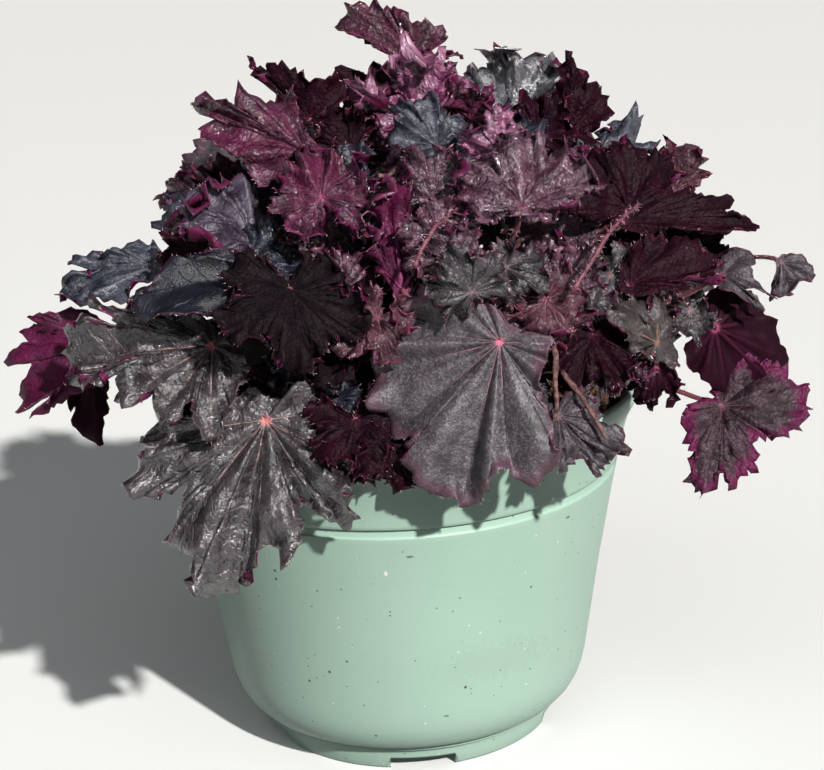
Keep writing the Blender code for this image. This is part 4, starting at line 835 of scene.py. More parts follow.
def toothed_edge(leaf):
    """Round the margin with its teeth: rising angles, the reach at each and the way gone, in millimetres."""
    finish = finish_of(leaf)
    key_angles, key_radii = eased_keys(leaf)
    keys = np.stack([np.cos(key_angles), np.sin(key_angles) * leaf.width], 1)
    line = curve_through(keys * key_radii[:, None] * leaf.length)
    spans = np.linalg.norm(np.roll(line, -1, 0) - line, axis=1)
    gone = np.concatenate([[0.0], np.cumsum(spans)])
    line = np.concatenate([line, line[:1]])
    teeth = max(LEAST_TEETH, round(gone[-1] / finish["tooth"]))
    shape = np.array(TOOTH_LARGE if leaf.length > LARGE_BLADE else TOOTH_SMALL)
    count = teeth * len(shape)
    step = np.arange(count) / len(shape)
    uneven = TOOTH_UNEVEN * np.sin(1.9 * step + leaf.phases[0]) + 0.15 * np.sin(0.83 * step)
    way = (step + uneven) / teeth * gone[-1]
    way = np.clip(way, 0.0, gone[-1] * 0.9999)
    spot = np.stack([np.interp(way, gone, line[:, k]) for k in (0, 1)], 1)
    ahead = np.stack([np.interp((way + TOOTH_LOOK) % gone[-1], gone, line[:, k]) for k in (0, 1)], 1)
    behind = np.stack([np.interp((way - TOOTH_LOOK) % gone[-1], gone, line[:, k]) for k in (0, 1)], 1)
    along = ahead - behind
    along /= np.linalg.norm(along, axis=1, keepdims=True)
    out = np.stack([along[:, 1], -along[:, 0]], 1)
    far = np.linalg.norm(spot, axis=1)
    depth = finish["depth"] * (0.75 + 0.3 * np.sin(2.3 * np.floor(step) + leaf.phases[1]))
    depth = depth * smooth(0.16 * leaf.length, 0.4 * leaf.length, far)
    spot = spot + out * (depth * shape[np.arange(count) % len(shape)])[:, None]
    if leaf.kind_name == "round":
        scallop = abs(np.sin(math.pi * way / SCALLOP_WIDTH + leaf.phases[2])) ** 0.6 - 0.7
        spot = spot + out * (SCALLOP_DEPTH * scallop * smooth(0.3, 0.6, far / leaf.length))[:, None]
    angles = np.unwrap(np.arctan2(spot[:, 1] / leaf.width, spot[:, 0]))
    reaches = np.hypot(spot[:, 0], spot[:, 1] / leaf.width) / leaf.length
    angles = np.maximum.accumulate(angles + np.arange(count) * 1e-5)
    return angles, reaches, way


def vein_sheet(leaf, a, b):
    """How far along the nearest main vein and aside of it each flat spot lies, and how near a fold is."""
    mains = main_veins(leaf)
    angle = np.arctan2(b, a)
    far = np.hypot(a, b)
    apart = abs(half_turned(angle[..., None] - mains))
    nearest = np.sort(apart, -1)
    aside, next_aside = nearest[..., 0], nearest[..., 1]
    between = np.clip(2 * aside / np.maximum(aside + next_aside, 1e-6), 0.0, 1.0)
    return far * np.cos(np.minimum(aside, 1.2)), far * np.sin(np.minimum(aside, 1.2)), between, far


def waved(leaf, angles, reaches, way, shares):
    """The blade's middle sheet as a grid of spots, with the flat place and the vein place of each."""
    finish = finish_of(leaf)
    length = leaf.length
    share = shares[:, None] * np.ones(len(angles))
    inner = leaf.stalk_radius() / length
    radius = inner + (reaches - inner) * share
    a = radius * np.cos(angles) * length
    b = radius * np.sin(angles) * leaf.width * length
    along, aside, between, far = vein_sheet(leaf, a, b)
    calm = smooth(0.1, 0.34, reaches)
    lift = finish["fold"] * far * (0.5 - 0.5 * np.cos(math.pi * between))
    lift = lift - VEIN_SINK * np.exp(-(aside / VEIN_WIDTH) ** 2) * (1.0 - 0.5 * share)
    phase = (along - SIDE_VEIN_LEAN * aside) / SIDE_VEINS
    lift = lift + finish["pucker"] * abs(np.sin(math.pi * phase)) ** 0.7 * smooth(0.5, 4.0, aside)
    for k, (wave_length, lean, part) in enumerate(CRUMPLES):
        turn = lean + leaf.phases[k]
        slope = (a * math.cos(turn) + b * math.sin(turn)) * math.tau / wave_length
        lift = lift + finish["crumple"] * part * np.sin(slope + leaf.phases[4 - k]) * share ** CRUMPLE_RISE
    swing = way / finish["wave_length"] * math.tau
    swing = swing + 1.3 * np.sin(way * 0.09 + leaf.phases[2]) + leaf.phases[3] + 2.2 * np.sin(3.0 * share)
    lift = lift + finish["wave"] * share ** WAVE_RISE * (np.sin(swing) + 0.35 * np.sin(2.1 * swing + 1.0))
    h = leaf.height(half_turned(angles), share) * calm + lift * calm / length
    local = leaf.bend(a / length, b / length, h)
    return leaf.joint + (local * length) @ leaf.frame, a, b, along, aside, (1.0 - share) * reaches * length


def angle_in_view(leaf, across, down):
    """The angle round the blade of what is seen at (across, down) in the front view."""
    way, side, normal = leaf.frame
    ray = from_view(across, down, 0.0) - EYE
    hit = EYE + ray * (leaf.joint - EYE).dot(normal) / ray.dot(normal) - leaf.joint
    return math.atan2(hit.dot(side), hit.dot(way))


def rolled(leaf, sheet, shares, way, angles):
    """Rolls the whole margin of the sheet a little up and down, and some stretches of it right over."""
    over = np.zeros(len(angles))
    for spot, half, start, most in ROLLS.get(leaf.name, ()):
        aside = np.degrees(abs(half_turned(angles - angle_in_view(leaf, *spot))))
        near = 1.0 - smooth(0.6 * half, half, aside)
        over = np.maximum(over, near)
        sheet = rolled_margin(sheet, int(np.searchsorted(shares, start)), near * most)
    amount = finish_of(leaf)["wave"] * ROLL_OF_WAVE
    turn = amount * (np.sin(way * 0.21 + leaf.phases[3]) + 0.6 * np.sin(way * 0.47 + leaf.phases[0]))
    return rolled_margin(sheet, int(np.searchsorted(shares, ROLL_START)), turn * (1.0 - over))


def rolled_margin(sheet, first, turn):
    """Bends the sheet outside its ring first into an arc that turns this far at the margin."""
    hinge = sheet[first].copy()
    around = np.roll(hinge, -1, 0) - np.roll(hinge, 1, 0)
    normal = np.cross(sheet[first] - sheet[first - 1], around)
    normal /= np.linalg.norm(normal, axis=1, keepdims=True) + 1e-9
    band = np.linalg.norm(sheet[-1] - hinge, axis=1)
    bend = np.where(abs(turn) < 1e-3, 1e-3, turn) / np.maximum(band, 0.5)
    for r in range(first + 1, len(sheet)):
        out = sheet[r] - hinge
        gone = np.linalg.norm(out, axis=1)
        out = out / (gone[:, None] + 1e-9)
        sheet[r] = (hinge + out * (np.sin(bend * gone) / bend)[:, None]
                    + normal * ((1.0 - np.cos(bend * gone)) / bend)[:, None])
    return sheet


def blade_grid(leaf):
    """Points, quads, which faces look down, and the vein and flat places of every point of a fine blade."""
    angles, reaches, way = toothed_edge(leaf)
    rings = max(LEAST_RINGS, int(leaf.length * reaches.max() / RING_WIDTH))
    shares = np.linspace(0.0, 1.0, rings + 1)[1:] ** 0.92
    sheet, a, b, along, aside, rim = waved(leaf, angles, reaches, way, shares)
    sheet = rolled(leaf, sheet, shares, way, angles)
    n, count = len(angles), len(shares)
    around = np.roll(sheet, -1, 1) - np.roll(sheet, 1, 1)
    inner = np.concatenate([np.broadcast_to(leaf.joint, (1, n, 3)), sheet[:-1]], 0)
    outer = np.concatenate([sheet[1:], sheet[-1:]], 0)
    normals = np.cross(outer - inner, around)
    normals /= np.linalg.norm(normals, axis=2, keepdims=True) + 1e-9
    half = LEAF_THICKNESS / 2
    share = shares[:, None] * np.ones(n)
    rib = RIB_HEIGHT * np.exp(-(aside / RIB_WIDTH) ** 2) * (1.0 - 0.8 * share)
    up = leaf.frame[2]
    points = np.concatenate([
        [leaf.joint + up * half], (sheet + normals * half).reshape(-1, 3),
        (sheet - normals * (half + rib)[..., None]).reshape(-1, 3), [leaf.joint - up * (half + 0.7)]])
    tops = 1 + np.arange(count * n).reshape(count, n)
    lows = tops + count * n
    last = 1 + 2 * count * n

    def quads(grid):
        here, there = grid[:-1], np.roll(grid[:-1], -1, 1)
        above, beyond = grid[1:], np.roll(grid[1:], -1, 1)
        return np.stack([here, above, beyond, there], -1).reshape(-1, 4)

    top = quads(tops)
    low = quads(lows)[:, ::-1]
    rim_faces = np.stack([tops[-1], lows[-1], np.roll(lows[-1], -1), np.roll(tops[-1], -1)], -1)
    top_fan = np.stack([np.zeros(n, int), tops[0], np.roll(tops[0], -1)], -1)
    low_fan = np.stack([np.full(n, last), np.roll(lows[0], -1), lows[0]], -1)
    faces = top_fan.tolist() + top.tolist() + low.tolist() + low_fan.tolist() + rim_faces.tolist()
    under = np.concatenate([np.zeros(n + len(top), int), np.ones(len(low) + n, int), np.zeros(n, int)])
    sharp = np.concatenate([np.zeros(2 * n + len(top) + len(low), bool), np.ones(n, bool)])
    ends = np.zeros(1)

    def spread(values):
        flat = values.reshape(-1)
        return np.concatenate([ends, flat, flat, ends])

    rim_middle = reaches.mean() * leaf.length
    veins = np.stack([spread(along), spread(aside), spread(rim)], 1)
    veins[[0, -1], 2] = rim_middle
    flat = np.stack([spread(a), spread(b), np.full(len(points), leaf.seed * 31.7)], 1)
    return points, faces, under, sharp, veins, flat, spread(share)


def tube(line, wide, sides, x_axis):
    """Points and faces of a closed round bar along a line, of the radius given at each of its points."""
    turn = math.tau * np.arange(sides) / sides
    rings = []
    for k in range(len(line)):
        way = unit(line[min(k + 1, len(line) - 1)] - line[max(k - 1, 0)])
        x_axis = unit(x_axis - way * x_axis.dot(way))
        y_axis = np.cross(x_axis, way)
        rings.append(line[k] + wide[k] * (np.cos(turn)[:, None] * x_axis + np.sin(turn)[:, None] * y_axis))
    grid = np.arange(len(line) * sides).reshape(len(line), sides)
    beside = np.roll(grid, -1, 1)
    faces = np.stack([grid[:-1], grid[1:], beside[1:], beside[:-1]], -1).reshape(-1, 4).tolist()
    return np.concatenate(rings), faces + [grid[0].tolist(), grid[-1][::-1].tolist()]


def stalk_tube(leaf):
    """Points and faces of the leaf stalk, from inside the blade's hub into the crown, and the way along."""
    line = stalk_line(leaf, STALK_LENGTHS)
    line[0] = leaf.joint - leaf.frame[2] * 0.2
    line = np.concatenate([line, [line[-1] - leaf.base_way * STALK_SINK]])
    k = np.arange(len(line))
    t = np.minimum(k / (STALK_LENGTHS - 1), 1.0)
    swell = 1.0 + HUB_SWELL * np.exp(-k * HUB_FADE)
    wide = leaf.stalk_radius() * (STALK_TOP + STALK_SPREAD * t ** 2) * swell
    points, faces = tube(line, wide, STALK_ROUND, leaf.frame[0])
    return points, faces, np.linalg.norm(line - line[0], axis=1).repeat(STALK_ROUND)


def put(name, data):
    """A new object in the scene."""
    made = bpy.data.objects.new(name, data)
    bpy.context.scene.collection.objects.link(made)
    return made


def mesh_piece(name, points, faces, materials, indices=None, flat_faces=None, **attributes):
    """A new object at the origin, from points in millimetres about the pot's axis."""
    mesh = bpy.data.meshes.new(name)
    mesh.from_pydata(((points + POT_AXIS) * MM).tolist(), [], faces)
    for material in materials:
        mesh.materials.append(material)
    if indices is not None:
        mesh.polygons.foreach_set("material_index", np.ascontiguousarray(indices, np.int32))
    smooth_faces = np.ones(len(faces), bool) if flat_faces is None else ~flat_faces
    mesh.polygons.foreach_set("use_smooth", smooth_faces)
    for key, values in attributes.items():
        wide = values.ndim == 2
        made = mesh.attributes.new(key, "FLOAT_VECTOR" if wide else "FLOAT", "POINT")
        values = np.ascontiguousarray(values.reshape(-1), np.float32)
        made.data.foreach_set("vector" if wide else "value", values)
    mesh.update()
    return put(name, mesh)


def leaf_piece(leaf, name, materials):
    """Blade and stalk of one leaf in one object: upper side, underside and stalk are its three materials."""
    points, faces, under, sharp, veins, flat, share = blade_grid(leaf)
    bar, bar_faces, along = stalk_tube(leaf)
    first = len(points)
    faces += [[i + first for i in face] for face in bar_faces]
    indices = np.concatenate([under, np.full(len(bar_faces), 2)])
    sharp = np.concatenate([sharp, np.zeros(len(bar_faces), bool)])
    veins = np.concatenate([veins, np.stack([along, along * 0, along * 0], 1)])
    flat = np.concatenate([flat, bar - leaf.joint])
    share = np.concatenate([share, along * 0 + 1.0])
    return mesh_piece(name, np.concatenate([points, bar]), faces, materials, indices, sharp,
                      veins=veins, flat=flat, share=share)


def hairy_ground(piece):
    """The points of a leaf piece, the faces of its stalk near the blade, and the faces of its rim."""
    mesh = piece.data
    points = np.empty(len(mesh.vertices) * 3)
    mesh.vertices.foreach_get("co", points)
    points = points.reshape(-1, 3) / MM - POT_AXIS
    kinds = np.empty(len(mesh.polygons), np.int32)
    mesh.polygons.foreach_get("material_index", kinds)
    soft = np.empty(len(mesh.polygons), bool)
    mesh.polygons.foreach_get("use_smooth", soft)
    stalk = np.flatnonzero(kinds == 2)[:HAIRY_LENGTHS * STALK_ROUND]
    corners = [np.array([mesh.polygons[int(i)].vertices[:] for i in chosen])
               for chosen in (stalk, np.flatnonzero(~soft))]
    return points, corners[0], corners[1]


def linear(colour):
    """An sRGB colour such as "#8a2040" as linear red, green, blue and one."""
    parts = [int(colour[i:i + 2], 16) / 255.0 for i in (1, 3, 5)]
    return tuple(c / 12.92 if c <= 0.04045 else ((c + 0.055) / 1.055) ** 2.4 for c in parts) + (1.0,)


def add(tree, kind, inputs=None, give=0, **settings):
    """Adds a node with its settings and links, and gives one output; an input is a value or a socket."""
    node = tree.nodes.new(kind)
    for key, value in settings.items():
        setattr(node, key, value)
    for key, value in (inputs or {}).items():
        if isinstance(value, bpy.types.NodeSocket):
            tree.links.new(value, node.inputs[key])
        else:
            node.inputs[key].default_value = value
    return node.outputs[give] if len(node.outputs) else node


# Short names for the kinds of node that the materials use, and the place of a colour blend's output.
MATHS = "ShaderNodeMath"
STEP = "ShaderNodeMapRange"
BLEND = "ShaderNodeMix"
NOISE = "ShaderNodeTexNoise"
CELLS = "ShaderNodeTexVoronoi"
COLOUR_OUT = 2
SOFT = "SMOOTHSTEP"


def new_material(name, colour=None, **shader_values):
    """A material, its tree and its Principled shader with the values that stay the same all over."""
    material = bpy.data.materials.new(name)
    material.use_nodes = True
    tree = material.node_tree
    tree.nodes.clear()
    surface = add(tree, "ShaderNodeBsdfPrincipled")
    add(tree, "ShaderNodeOutputMaterial", {"Surface": surface})
    for key, value in shader_values.items():
        surface.node.inputs[key.replace("_", " ").title().replace("Ior", "IOR")].default_value = value
    if colour:
        surface.node.inputs["Base Color"].default_value = linear(colour)
    return material, tree, surface.node


# A leaf's skin where its look names nothing else: how silvery it is, partly painted sheen, and how speckled
# it is, its roughness and gloss, how much wax lies on it and how rough that is, how clear the main veins are
# and how far out they show, how clear the side veins are, the margin's strength and width, the hub's size,
# and
# then the relief: how high the pillows stand and how wide they are, how grainy and rumpled it is, and its
# depth in metres.
PLAIN_SKIN = dict(silvered=0.25, speckled=0.0, rough=0.38, gloss=0.7, wax=0.3, wax_rough=0.22,
                  veined=0.4, reach=0.5, branched=0.6, edged=0.5, hem_width=1.5, hub_size=1.6,
                  quilted=0.55, pillow_mm=2.2, grainy=0.7, rumpled=0.5, deep=0.0004)
SKIN_COLOURS = ("ground", "mottle", "vein", "margin", "silver")


def leaf_patterns(tree, flat, pillow_mm):
    """Patterns on lengths in millimetres: wandering over 4.5 mm, pillows between the netted veins (in life
    1 to 2 mm wide), blotches 14 mm and silver patches 9 mm across, and the fine grain; the silver patches
    also carry painted sheen."""
    wander = add(tree, NOISE, {"Vector": flat, "Scale": 0.22, "Detail": 3.0})
    wander = add(tree, MATHS, {0: wander, 1: 0.5}, operation="SUBTRACT")
    cells = add(tree, CELLS, {"Vector": flat, "Scale": 1.0 / pillow_mm}, feature="DISTANCE_TO_EDGE")
    pillow = add(tree, STEP, {"Value": cells, "From Max": 0.34}, interpolation_type=SOFT)
    blotch = add(tree, NOISE, {"Vector": flat, "Scale": 0.07, "Detail": 5.0, "Roughness": 0.62})
    blotch = add(tree, STEP, {"Value": blotch, "From Min": 0.38, "From Max": 0.62}, interpolation_type=SOFT)
    patch = add(tree, NOISE, {"Vector": flat, "Scale": 0.11, "Detail": 4.0, "Roughness": 0.7})
    patch = add(tree, STEP, {"Value": patch, "From Min": 0.38, "From Max": 0.60}, interpolation_type=SOFT)
    grain = add(tree, NOISE, {"Vector": flat, "Scale": 1.3, "Detail": 3.0, "Roughness": 0.7})
    return wander, pillow, blotch, patch, grain


def leaf_veins(tree, along, aside, share, wander, branched):
    """The main veins, thinner outwards, and the side veins that leave them slantwise."""
    near = add(tree, MATHS, {0: wander, 1: 1.1, 2: aside}, operation="MULTIPLY_ADD")
    near = add(tree, MATHS, {0: near}, operation="ABSOLUTE")
    width = add(tree, MATHS, {0: share, 1: -0.34, 2: 0.5}, operation="MULTIPLY_ADD")
    near = add(tree, MATHS, {0: near, 1: width}, operation="DIVIDE")
    main = add(tree, STEP, {"Value": near, "From Min": 1.0, "From Max": 0.4}, interpolation_type=SOFT)
    phase = add(tree, MATHS, {0: aside, 1: -SIDE_VEIN_LEAN, 2: along}, operation="MULTIPLY_ADD")
    phase = add(tree, MATHS, {0: wander, 1: 3.2, 2: phase}, operation="MULTIPLY_ADD")
    phase = add(tree, MATHS, {0: phase, 1: SIDE_VEINS}, operation="DIVIDE")
    phase = add(tree, MATHS, {0: phase}, operation="FRACT")
    phase = add(tree, MATHS, {0: phase, 1: 2.0, 2: -1.0}, operation="MULTIPLY_ADD")
    phase = add(tree, MATHS, {0: phase}, operation="ABSOLUTE")
    side = add(tree, STEP, {"Value": phase, "From Min": 0.86, "From Max": 0.98, "To Max": branched},
               interpolation_type=SOFT)
    return main, side


def leaf_skin(name, look):
    """Living heuchera leaf: a thin waxy skin quilted between its veins, which gives a dark body colour that
    flashes silver-grey where the sun glances off it, silver patches that are partly painted sheen, painted
    shade in the grooves between the pillows, veins in a second colour and a thin coloured margin."""
    material, tree, shader = new_material(name, ior=1.48, coat_weight=look["wax"],
                                          coat_roughness=look["wax_rough"],
                                          specular_ior_level=look["gloss"])
    flat = add(tree, "ShaderNodeAttribute", give="Vector", attribute_name="flat")
    veins = add(tree, "ShaderNodeAttribute", give="Vector", attribute_name="veins")
    share = add(tree, "ShaderNodeAttribute", give="Fac", attribute_name="share")
    along = add(tree, "ShaderNodeSeparateXYZ", {0: veins}, "X")
    aside = add(tree, "ShaderNodeSeparateXYZ", {0: veins}, "Y")
    rim = add(tree, "ShaderNodeSeparateXYZ", {0: veins}, "Z")
    wander, pillow, blotch, patch, grain = leaf_patterns(tree, flat, look["pillow_mm"])
    main, side = leaf_veins(tree, along, aside, share, wander, look["branched"])

    # Where each colour lies: silver bloom in powdery patches, which is partly painted sheen; painted shade in
    # the grooves between the pillows and along the side veins; the veins as far out as they show, the hub in
    # the middle and the hem along the margin.
    # Silver patches: partly the leaf's own silvering, partly painted sheen standing in for the sun's glints.
    powder_and_sheen = add(tree, STEP, {"Value": grain, "From Min": 0.32, "From Max": 0.62, "To Min": 0.25},
                 interpolation_type=SOFT)
    speck = add(tree, STEP, {"Value": grain, "From Min": 0.46, "From Max": 0.68}, interpolation_type=SOFT)
    bloom_and_sheen = add(tree, MATHS, {0: patch, 1: powder_and_sheen}, operation="MULTIPLY")
    bloom_and_sheen = add(tree, MATHS, {0: bloom_and_sheen, 1: look["silvered"]}, operation="MULTIPLY")
    bloom_and_sheen = add(tree, MATHS, {0: speck, 1: look["speckled"], 2: bloom_and_sheen}, operation="MULTIPLY_ADD",
                use_clamp=True)
    # Painted shade: the grooves between the pillows and the side veins are darkened towards a quarter of the
    # ground.
    painted_groove_shade = add(tree, MATHS, {0: pillow, 1: -0.25, 2: 0.25}, operation="MULTIPLY_ADD")
    painted_groove_shade = add(tree, MATHS, {0: side, 1: 0.4, 2: painted_groove_shade}, operation="MULTIPLY_ADD", use_clamp=True)
    living = add(tree, STEP, {"Value": share, "From Min": look["reach"], "From Max": look["reach"] * 0.25,
                              "To Max": look["veined"]}, interpolation_type=SOFT)
    lines = add(tree, MATHS, {0: side, 1: 0.2}, operation="MULTIPLY")
    lines = add(tree, MATHS, {0: main, 1: lines}, operation="MAXIMUM")
    lines = add(tree, MATHS, {0: lines, 1: living}, operation="MULTIPLY")
    middle = add(tree, MATHS, {0: along, 1: aside}, operation="ADD")
    middle = add(tree, STEP, {"Value": middle, "From Min": look["hub_size"] * 1.7,
                              "From Max": look["hub_size"] * 0.5}, interpolation_type=SOFT)
    inside = add(tree, STEP, {"Value": rim, "From Min": 4.0, "From Max": 9.0}, interpolation_type=SOFT)
    middle = add(tree, MATHS, {0: middle, 1: inside}, operation="MULTIPLY")
    hem = add(tree, STEP, {"Value": rim, "From Min": look["hem_width"],
                           "From Max": look["hem_width"] * 0.4 - 0.5, "To Max": look["edged"]},
              interpolation_type=SOFT)

    # The colours, laid over the ground in turn.
    colour = linear(look["ground"])
    # A quarter of the ground colour: the painted shade of the grooves.
    shadow = tuple(c * 0.25 for c in colour[:3]) + (1.0,)
    for factor, tint in ((blotch, linear(look["mottle"])), (bloom_and_sheen, linear(look["silver"])),
                         (painted_groove_shade, shadow), (lines, linear(look["vein"])),
                         (middle, linear(look.get("hub", look["vein"]))), (hem, linear(look["margin"]))):
        colour = add(tree, BLEND, {"Factor": factor, "A": colour, "B": tint}, COLOUR_OUT, data_type="RGBA")

    # Relief: veins sunk, pillows raised, with the grain and slow rumples on them.
    height = 0.0
    for part, depth in ((main, -0.6), (side, -0.5), (pillow, look["quilted"]), (grain, look["grainy"]),
                        (wander, look["rumpled"])):
        height = add(tree, MATHS, {0: part, 1: depth, 2: height}, operation="MULTIPLY_ADD")
    normal = add(tree, "ShaderNodeBump", {"Height": height, "Distance": look["deep"], "Strength": 1.0})
    rough = add(tree, STEP, {"Value": patch, "To Min": look["rough"] + 0.1, "To Max": look["rough"] - 0.05})
    for socket, value in (("Base Color", colour), ("Normal", normal), ("Coat Normal", normal),
                          ("Roughness", rough)):
        tree.links.new(value, shader.inputs[socket])
    return material


def shades(colours, **others):
    """A leaf's look: its five colours in the order above and what else is special about it."""
    return dict(PLAIN_SKIN, **dict(zip(SKIN_COLOURS, colours.split())), **others)


# The looks of the upper sides, each a colour of the one plant: heuchera leaves darken and silver with age.
# Part of each look's silver is painted sheen, and "shade" is a near-black painted shade for leaves that lie
# in shade.
LOOKS = {
    "slate": shades("#130c10 #20171b #b08c8a #4a2c34 #80767e", rough=0.36, reach=1.5, hub="#e08480",
                    hub_size=2.0, silvered=0.35, wax=1.0, wax_rough=0.16, veined=0.7, gloss=0.7,
                    quilted=0.35, pillow_mm=2.4, branched=0.6, grainy=0.8, rumpled=5.0),
    "plum": shades("#292228 #3c3339 #9a6c78 #5c3046 #a098a0", rough=0.44, reach=0.55, silvered=0.3,
                   hub="#e87898", hub_size=1.3, quilted=0.1, pillow_mm=1.4, branched=0.2, speckled=0.25,
                   wax=0.05, veined=0.8, hem_width=7.0, edged=0.6, rumpled=1.5),
    "dusk": shades("#281f26 #3a2e36 #6a4a56 #6a3048 #948c96", wax=0.05, gloss=0.5, quilted=0.25,
                   pillow_mm=1.6),
    "wine": shades("#22101a #381c2a #6a3c4c #6a1248 #8a707c", wax=0.1, gloss=0.3, rough=0.5, hem_width=8.0,
                   edged=0.8, rumpled=2.0),
    "grey": shades("#1d171b #2e262b #7a686c #56203a #98929a", veined=0.6, reach=0.8, wax=0.2, gloss=0.6),
    "violet": shades("#2a2030 #3c2e44 #4a3448 #701a4c #aca2b4", wax=0.1, gloss=0.5, quilted=0.3),
    "navy": shades("#0c0d19 #161726 #2c1c28 #401430 #5c6478", gloss=0.5, wax=0.15),
    "steel": shades("#191c2a #272b3a #2c2832 #401a3a #a0a4b4", silvered=0.3, quilted=0.3, wax=0.15,
                    gloss=0.6),
    "hemmed": shades("#0b0c15 #141622 #1f1520 #501038 #3c3e4e", wax=0.05, gloss=0.4, quilted=0.15),
    "umber": shades("#150b0e #26161b #2e1820 #4a2430 #3e2c34", wax=0.0, gloss=0.25, rough=0.55),
    # Near-black painted shade, for leaves that lie in shade among the others.
    "shade": shades("#0e080d #1a1016 #1a0f16 #341824 #302428", wax=0.0, gloss=0.1, rough=0.6),
    "crimson": shades("#280316 #460a28 #581a34 #641a44 #a0587c", gloss=0.35, wax=0.8, wax_rough=0.12,
                      rough=0.44, silvered=0.2, rumpled=5.0),
    "magenta": shades("#30041c #560a32 #843058 #701a50 #b86c98", reach=0.9, veined=0.5, gloss=0.35, wax=0.8,
                      wax_rough=0.12, rough=0.44, silvered=0.2, rumpled=5.0),
    "maroon": shades("#18030e #280616 #3c1226 #46102a #3c1a2a", wax=0.03, gloss=0.12, rough=0.55,
                     silvered=0.1, rumpled=1.5),
    "pink": shades("#2c0a1a #4a162c #7c4654 #80304e #c89aa6", silvered=0.25, gloss=0.35, wax=0.4,
                   wax_rough=0.13, rough=0.46, rumpled=3.0),
    "mauve": shades("#24051a #420c2a #642040 #701e4e #c090a8", silvered=0.35, gloss=0.5, wax=1.0,
                    wax_rough=0.12, rough=0.40, rumpled=6.0),
    "silver": shades("#24222a #3c3a42 #1f161c #481a34 #d0ced4", silvered=0.5, wax=0.8, gloss=1.0,
                     quilted=0.3),
    "olive": shades("#281e20 #3a3032 #8a6a5e #502830 #988c90", veined=0.8, reach=1.1, quilted=0.3, wax=0.1,
                    gloss=0.5),
    "plumback": shades("#1c0414 #2c071d #5c1c40 #441230 #4a2040"),
    "withered": shades("#2e2018 #503828 #2c180e #2a180e #7c6450", wax=0.0, gloss=0.2, rough=0.75),
}
# The undersides: most are vivid; those that hang in shade or turn their back are darker, partly by painted
# shade; one is brighter, its pale patches partly painted highlights.
UNDERSIDES = {
    "vivid": shades("#44082a #62123e #8a3868 #681a48 #8a4a74", veined=0.6, reach=1.2, wax=0.03, gloss=0.25,
                    rough=0.46, quilted=0.4),
    # Darker, partly painted shade for undersides that hang in shade.
    "dark": shades("#200312 #2e061c #501430 #3c0a26 #401030", silvered=0.1, veined=0.35, reach=1.1,
                   quilted=0.1, branched=0.2, deep=0.0003, wax=0.0, gloss=0.12, rough=0.6, hub="#a04468",
                   hub_size=1.8),
    # Pale pink patches that partly paint highlights.
    "bright": shades("#581040 #8c3468 #c07098 #8a2c60 #f4c4e0", silvered=0.45, veined=0.6, reach=1.2,
                     wax=1.0, wax_rough=0.1, gloss=0.8, rough=0.36, rumpled=6.0),
    "withered": shades("#6a3c1e #94582c #4c2c18 #4a2c18 #a87848", wax=0.0, rough=0.75),
}
# Leaves whose upper or under side looks otherwise than their tone says.
LOOK_OF = {"leaf_front_low_right": "dusk", "leaf_left_blue": "steel", "leaf_left_curled": "steel",
           "leaf_left_ruffled": "violet", "leaf_left_navy": "hemmed", "leaf_left_fringed": "shade",
           "leaf_middle_toothed": "grey", "leaf_right_grey": "maroon",
           "leaf_low_shaded": "shade", "leaf_top": "crimson", "leaf_top_grey": "steel",
           "leaf_left_shaded": "shade", "leaf_right_shaded": "umber", "leaf_right_low": "wine",
           "leaf_right_fold": "dusk", "leaf_right_curled": "dusk", "leaf_upper_right_grey": "steel"}
UNDERSIDE_OF = {"leaf_right_round": "dark", "leaf_left_hanging": "dark", "leaf_top_bright": "bright",
                "leaf_right_under": "dark", "leaf_top_crimson": "bright", "dead_leaf": "withered"}


def stalk_skin():
    """Fleshy leaf stalk: a smooth, slightly translucent skin, pink-red near the blade and browner near the
    crown, with fine lengthwise ribs; it gives a soft sheen under the hairs."""
    material, tree, shader = new_material("leaf_stalk_skin", ior=1.45, coat_weight=0.15, coat_roughness=0.3,
                                          roughness=0.45)
    flat = add(tree, "ShaderNodeAttribute", give="Vector", attribute_name="flat")
    veins = add(tree, "ShaderNodeAttribute", give="Vector", attribute_name="veins")
    down = add(tree, "ShaderNodeSeparateXYZ", {0: veins}, "X")
    down = add(tree, STEP, {"Value": down, "From Min": 8.0, "From Max": 60.0}, interpolation_type=SOFT)
    streaks = add(tree, NOISE, {"Vector": flat, "Scale": 0.6, "Detail": 4.0})
    colour = add(tree, BLEND, {"Factor": streaks, "A": linear("#54202e"), "B": linear("#a05866")}, COLOUR_OUT,
                 data_type="RGBA")
    colour = add(tree, BLEND, {"Factor": down, "A": colour, "B": linear("#3c1a20")}, COLOUR_OUT,
                 data_type="RGBA")
    normal = add(tree, "ShaderNodeBump", {"Height": streaks, "Distance": 0.0005, "Strength": 0.8})
    tree.links.new(colour, shader.inputs["Base Color"])
    tree.links.new(normal, shader.inputs["Normal"])
    return material


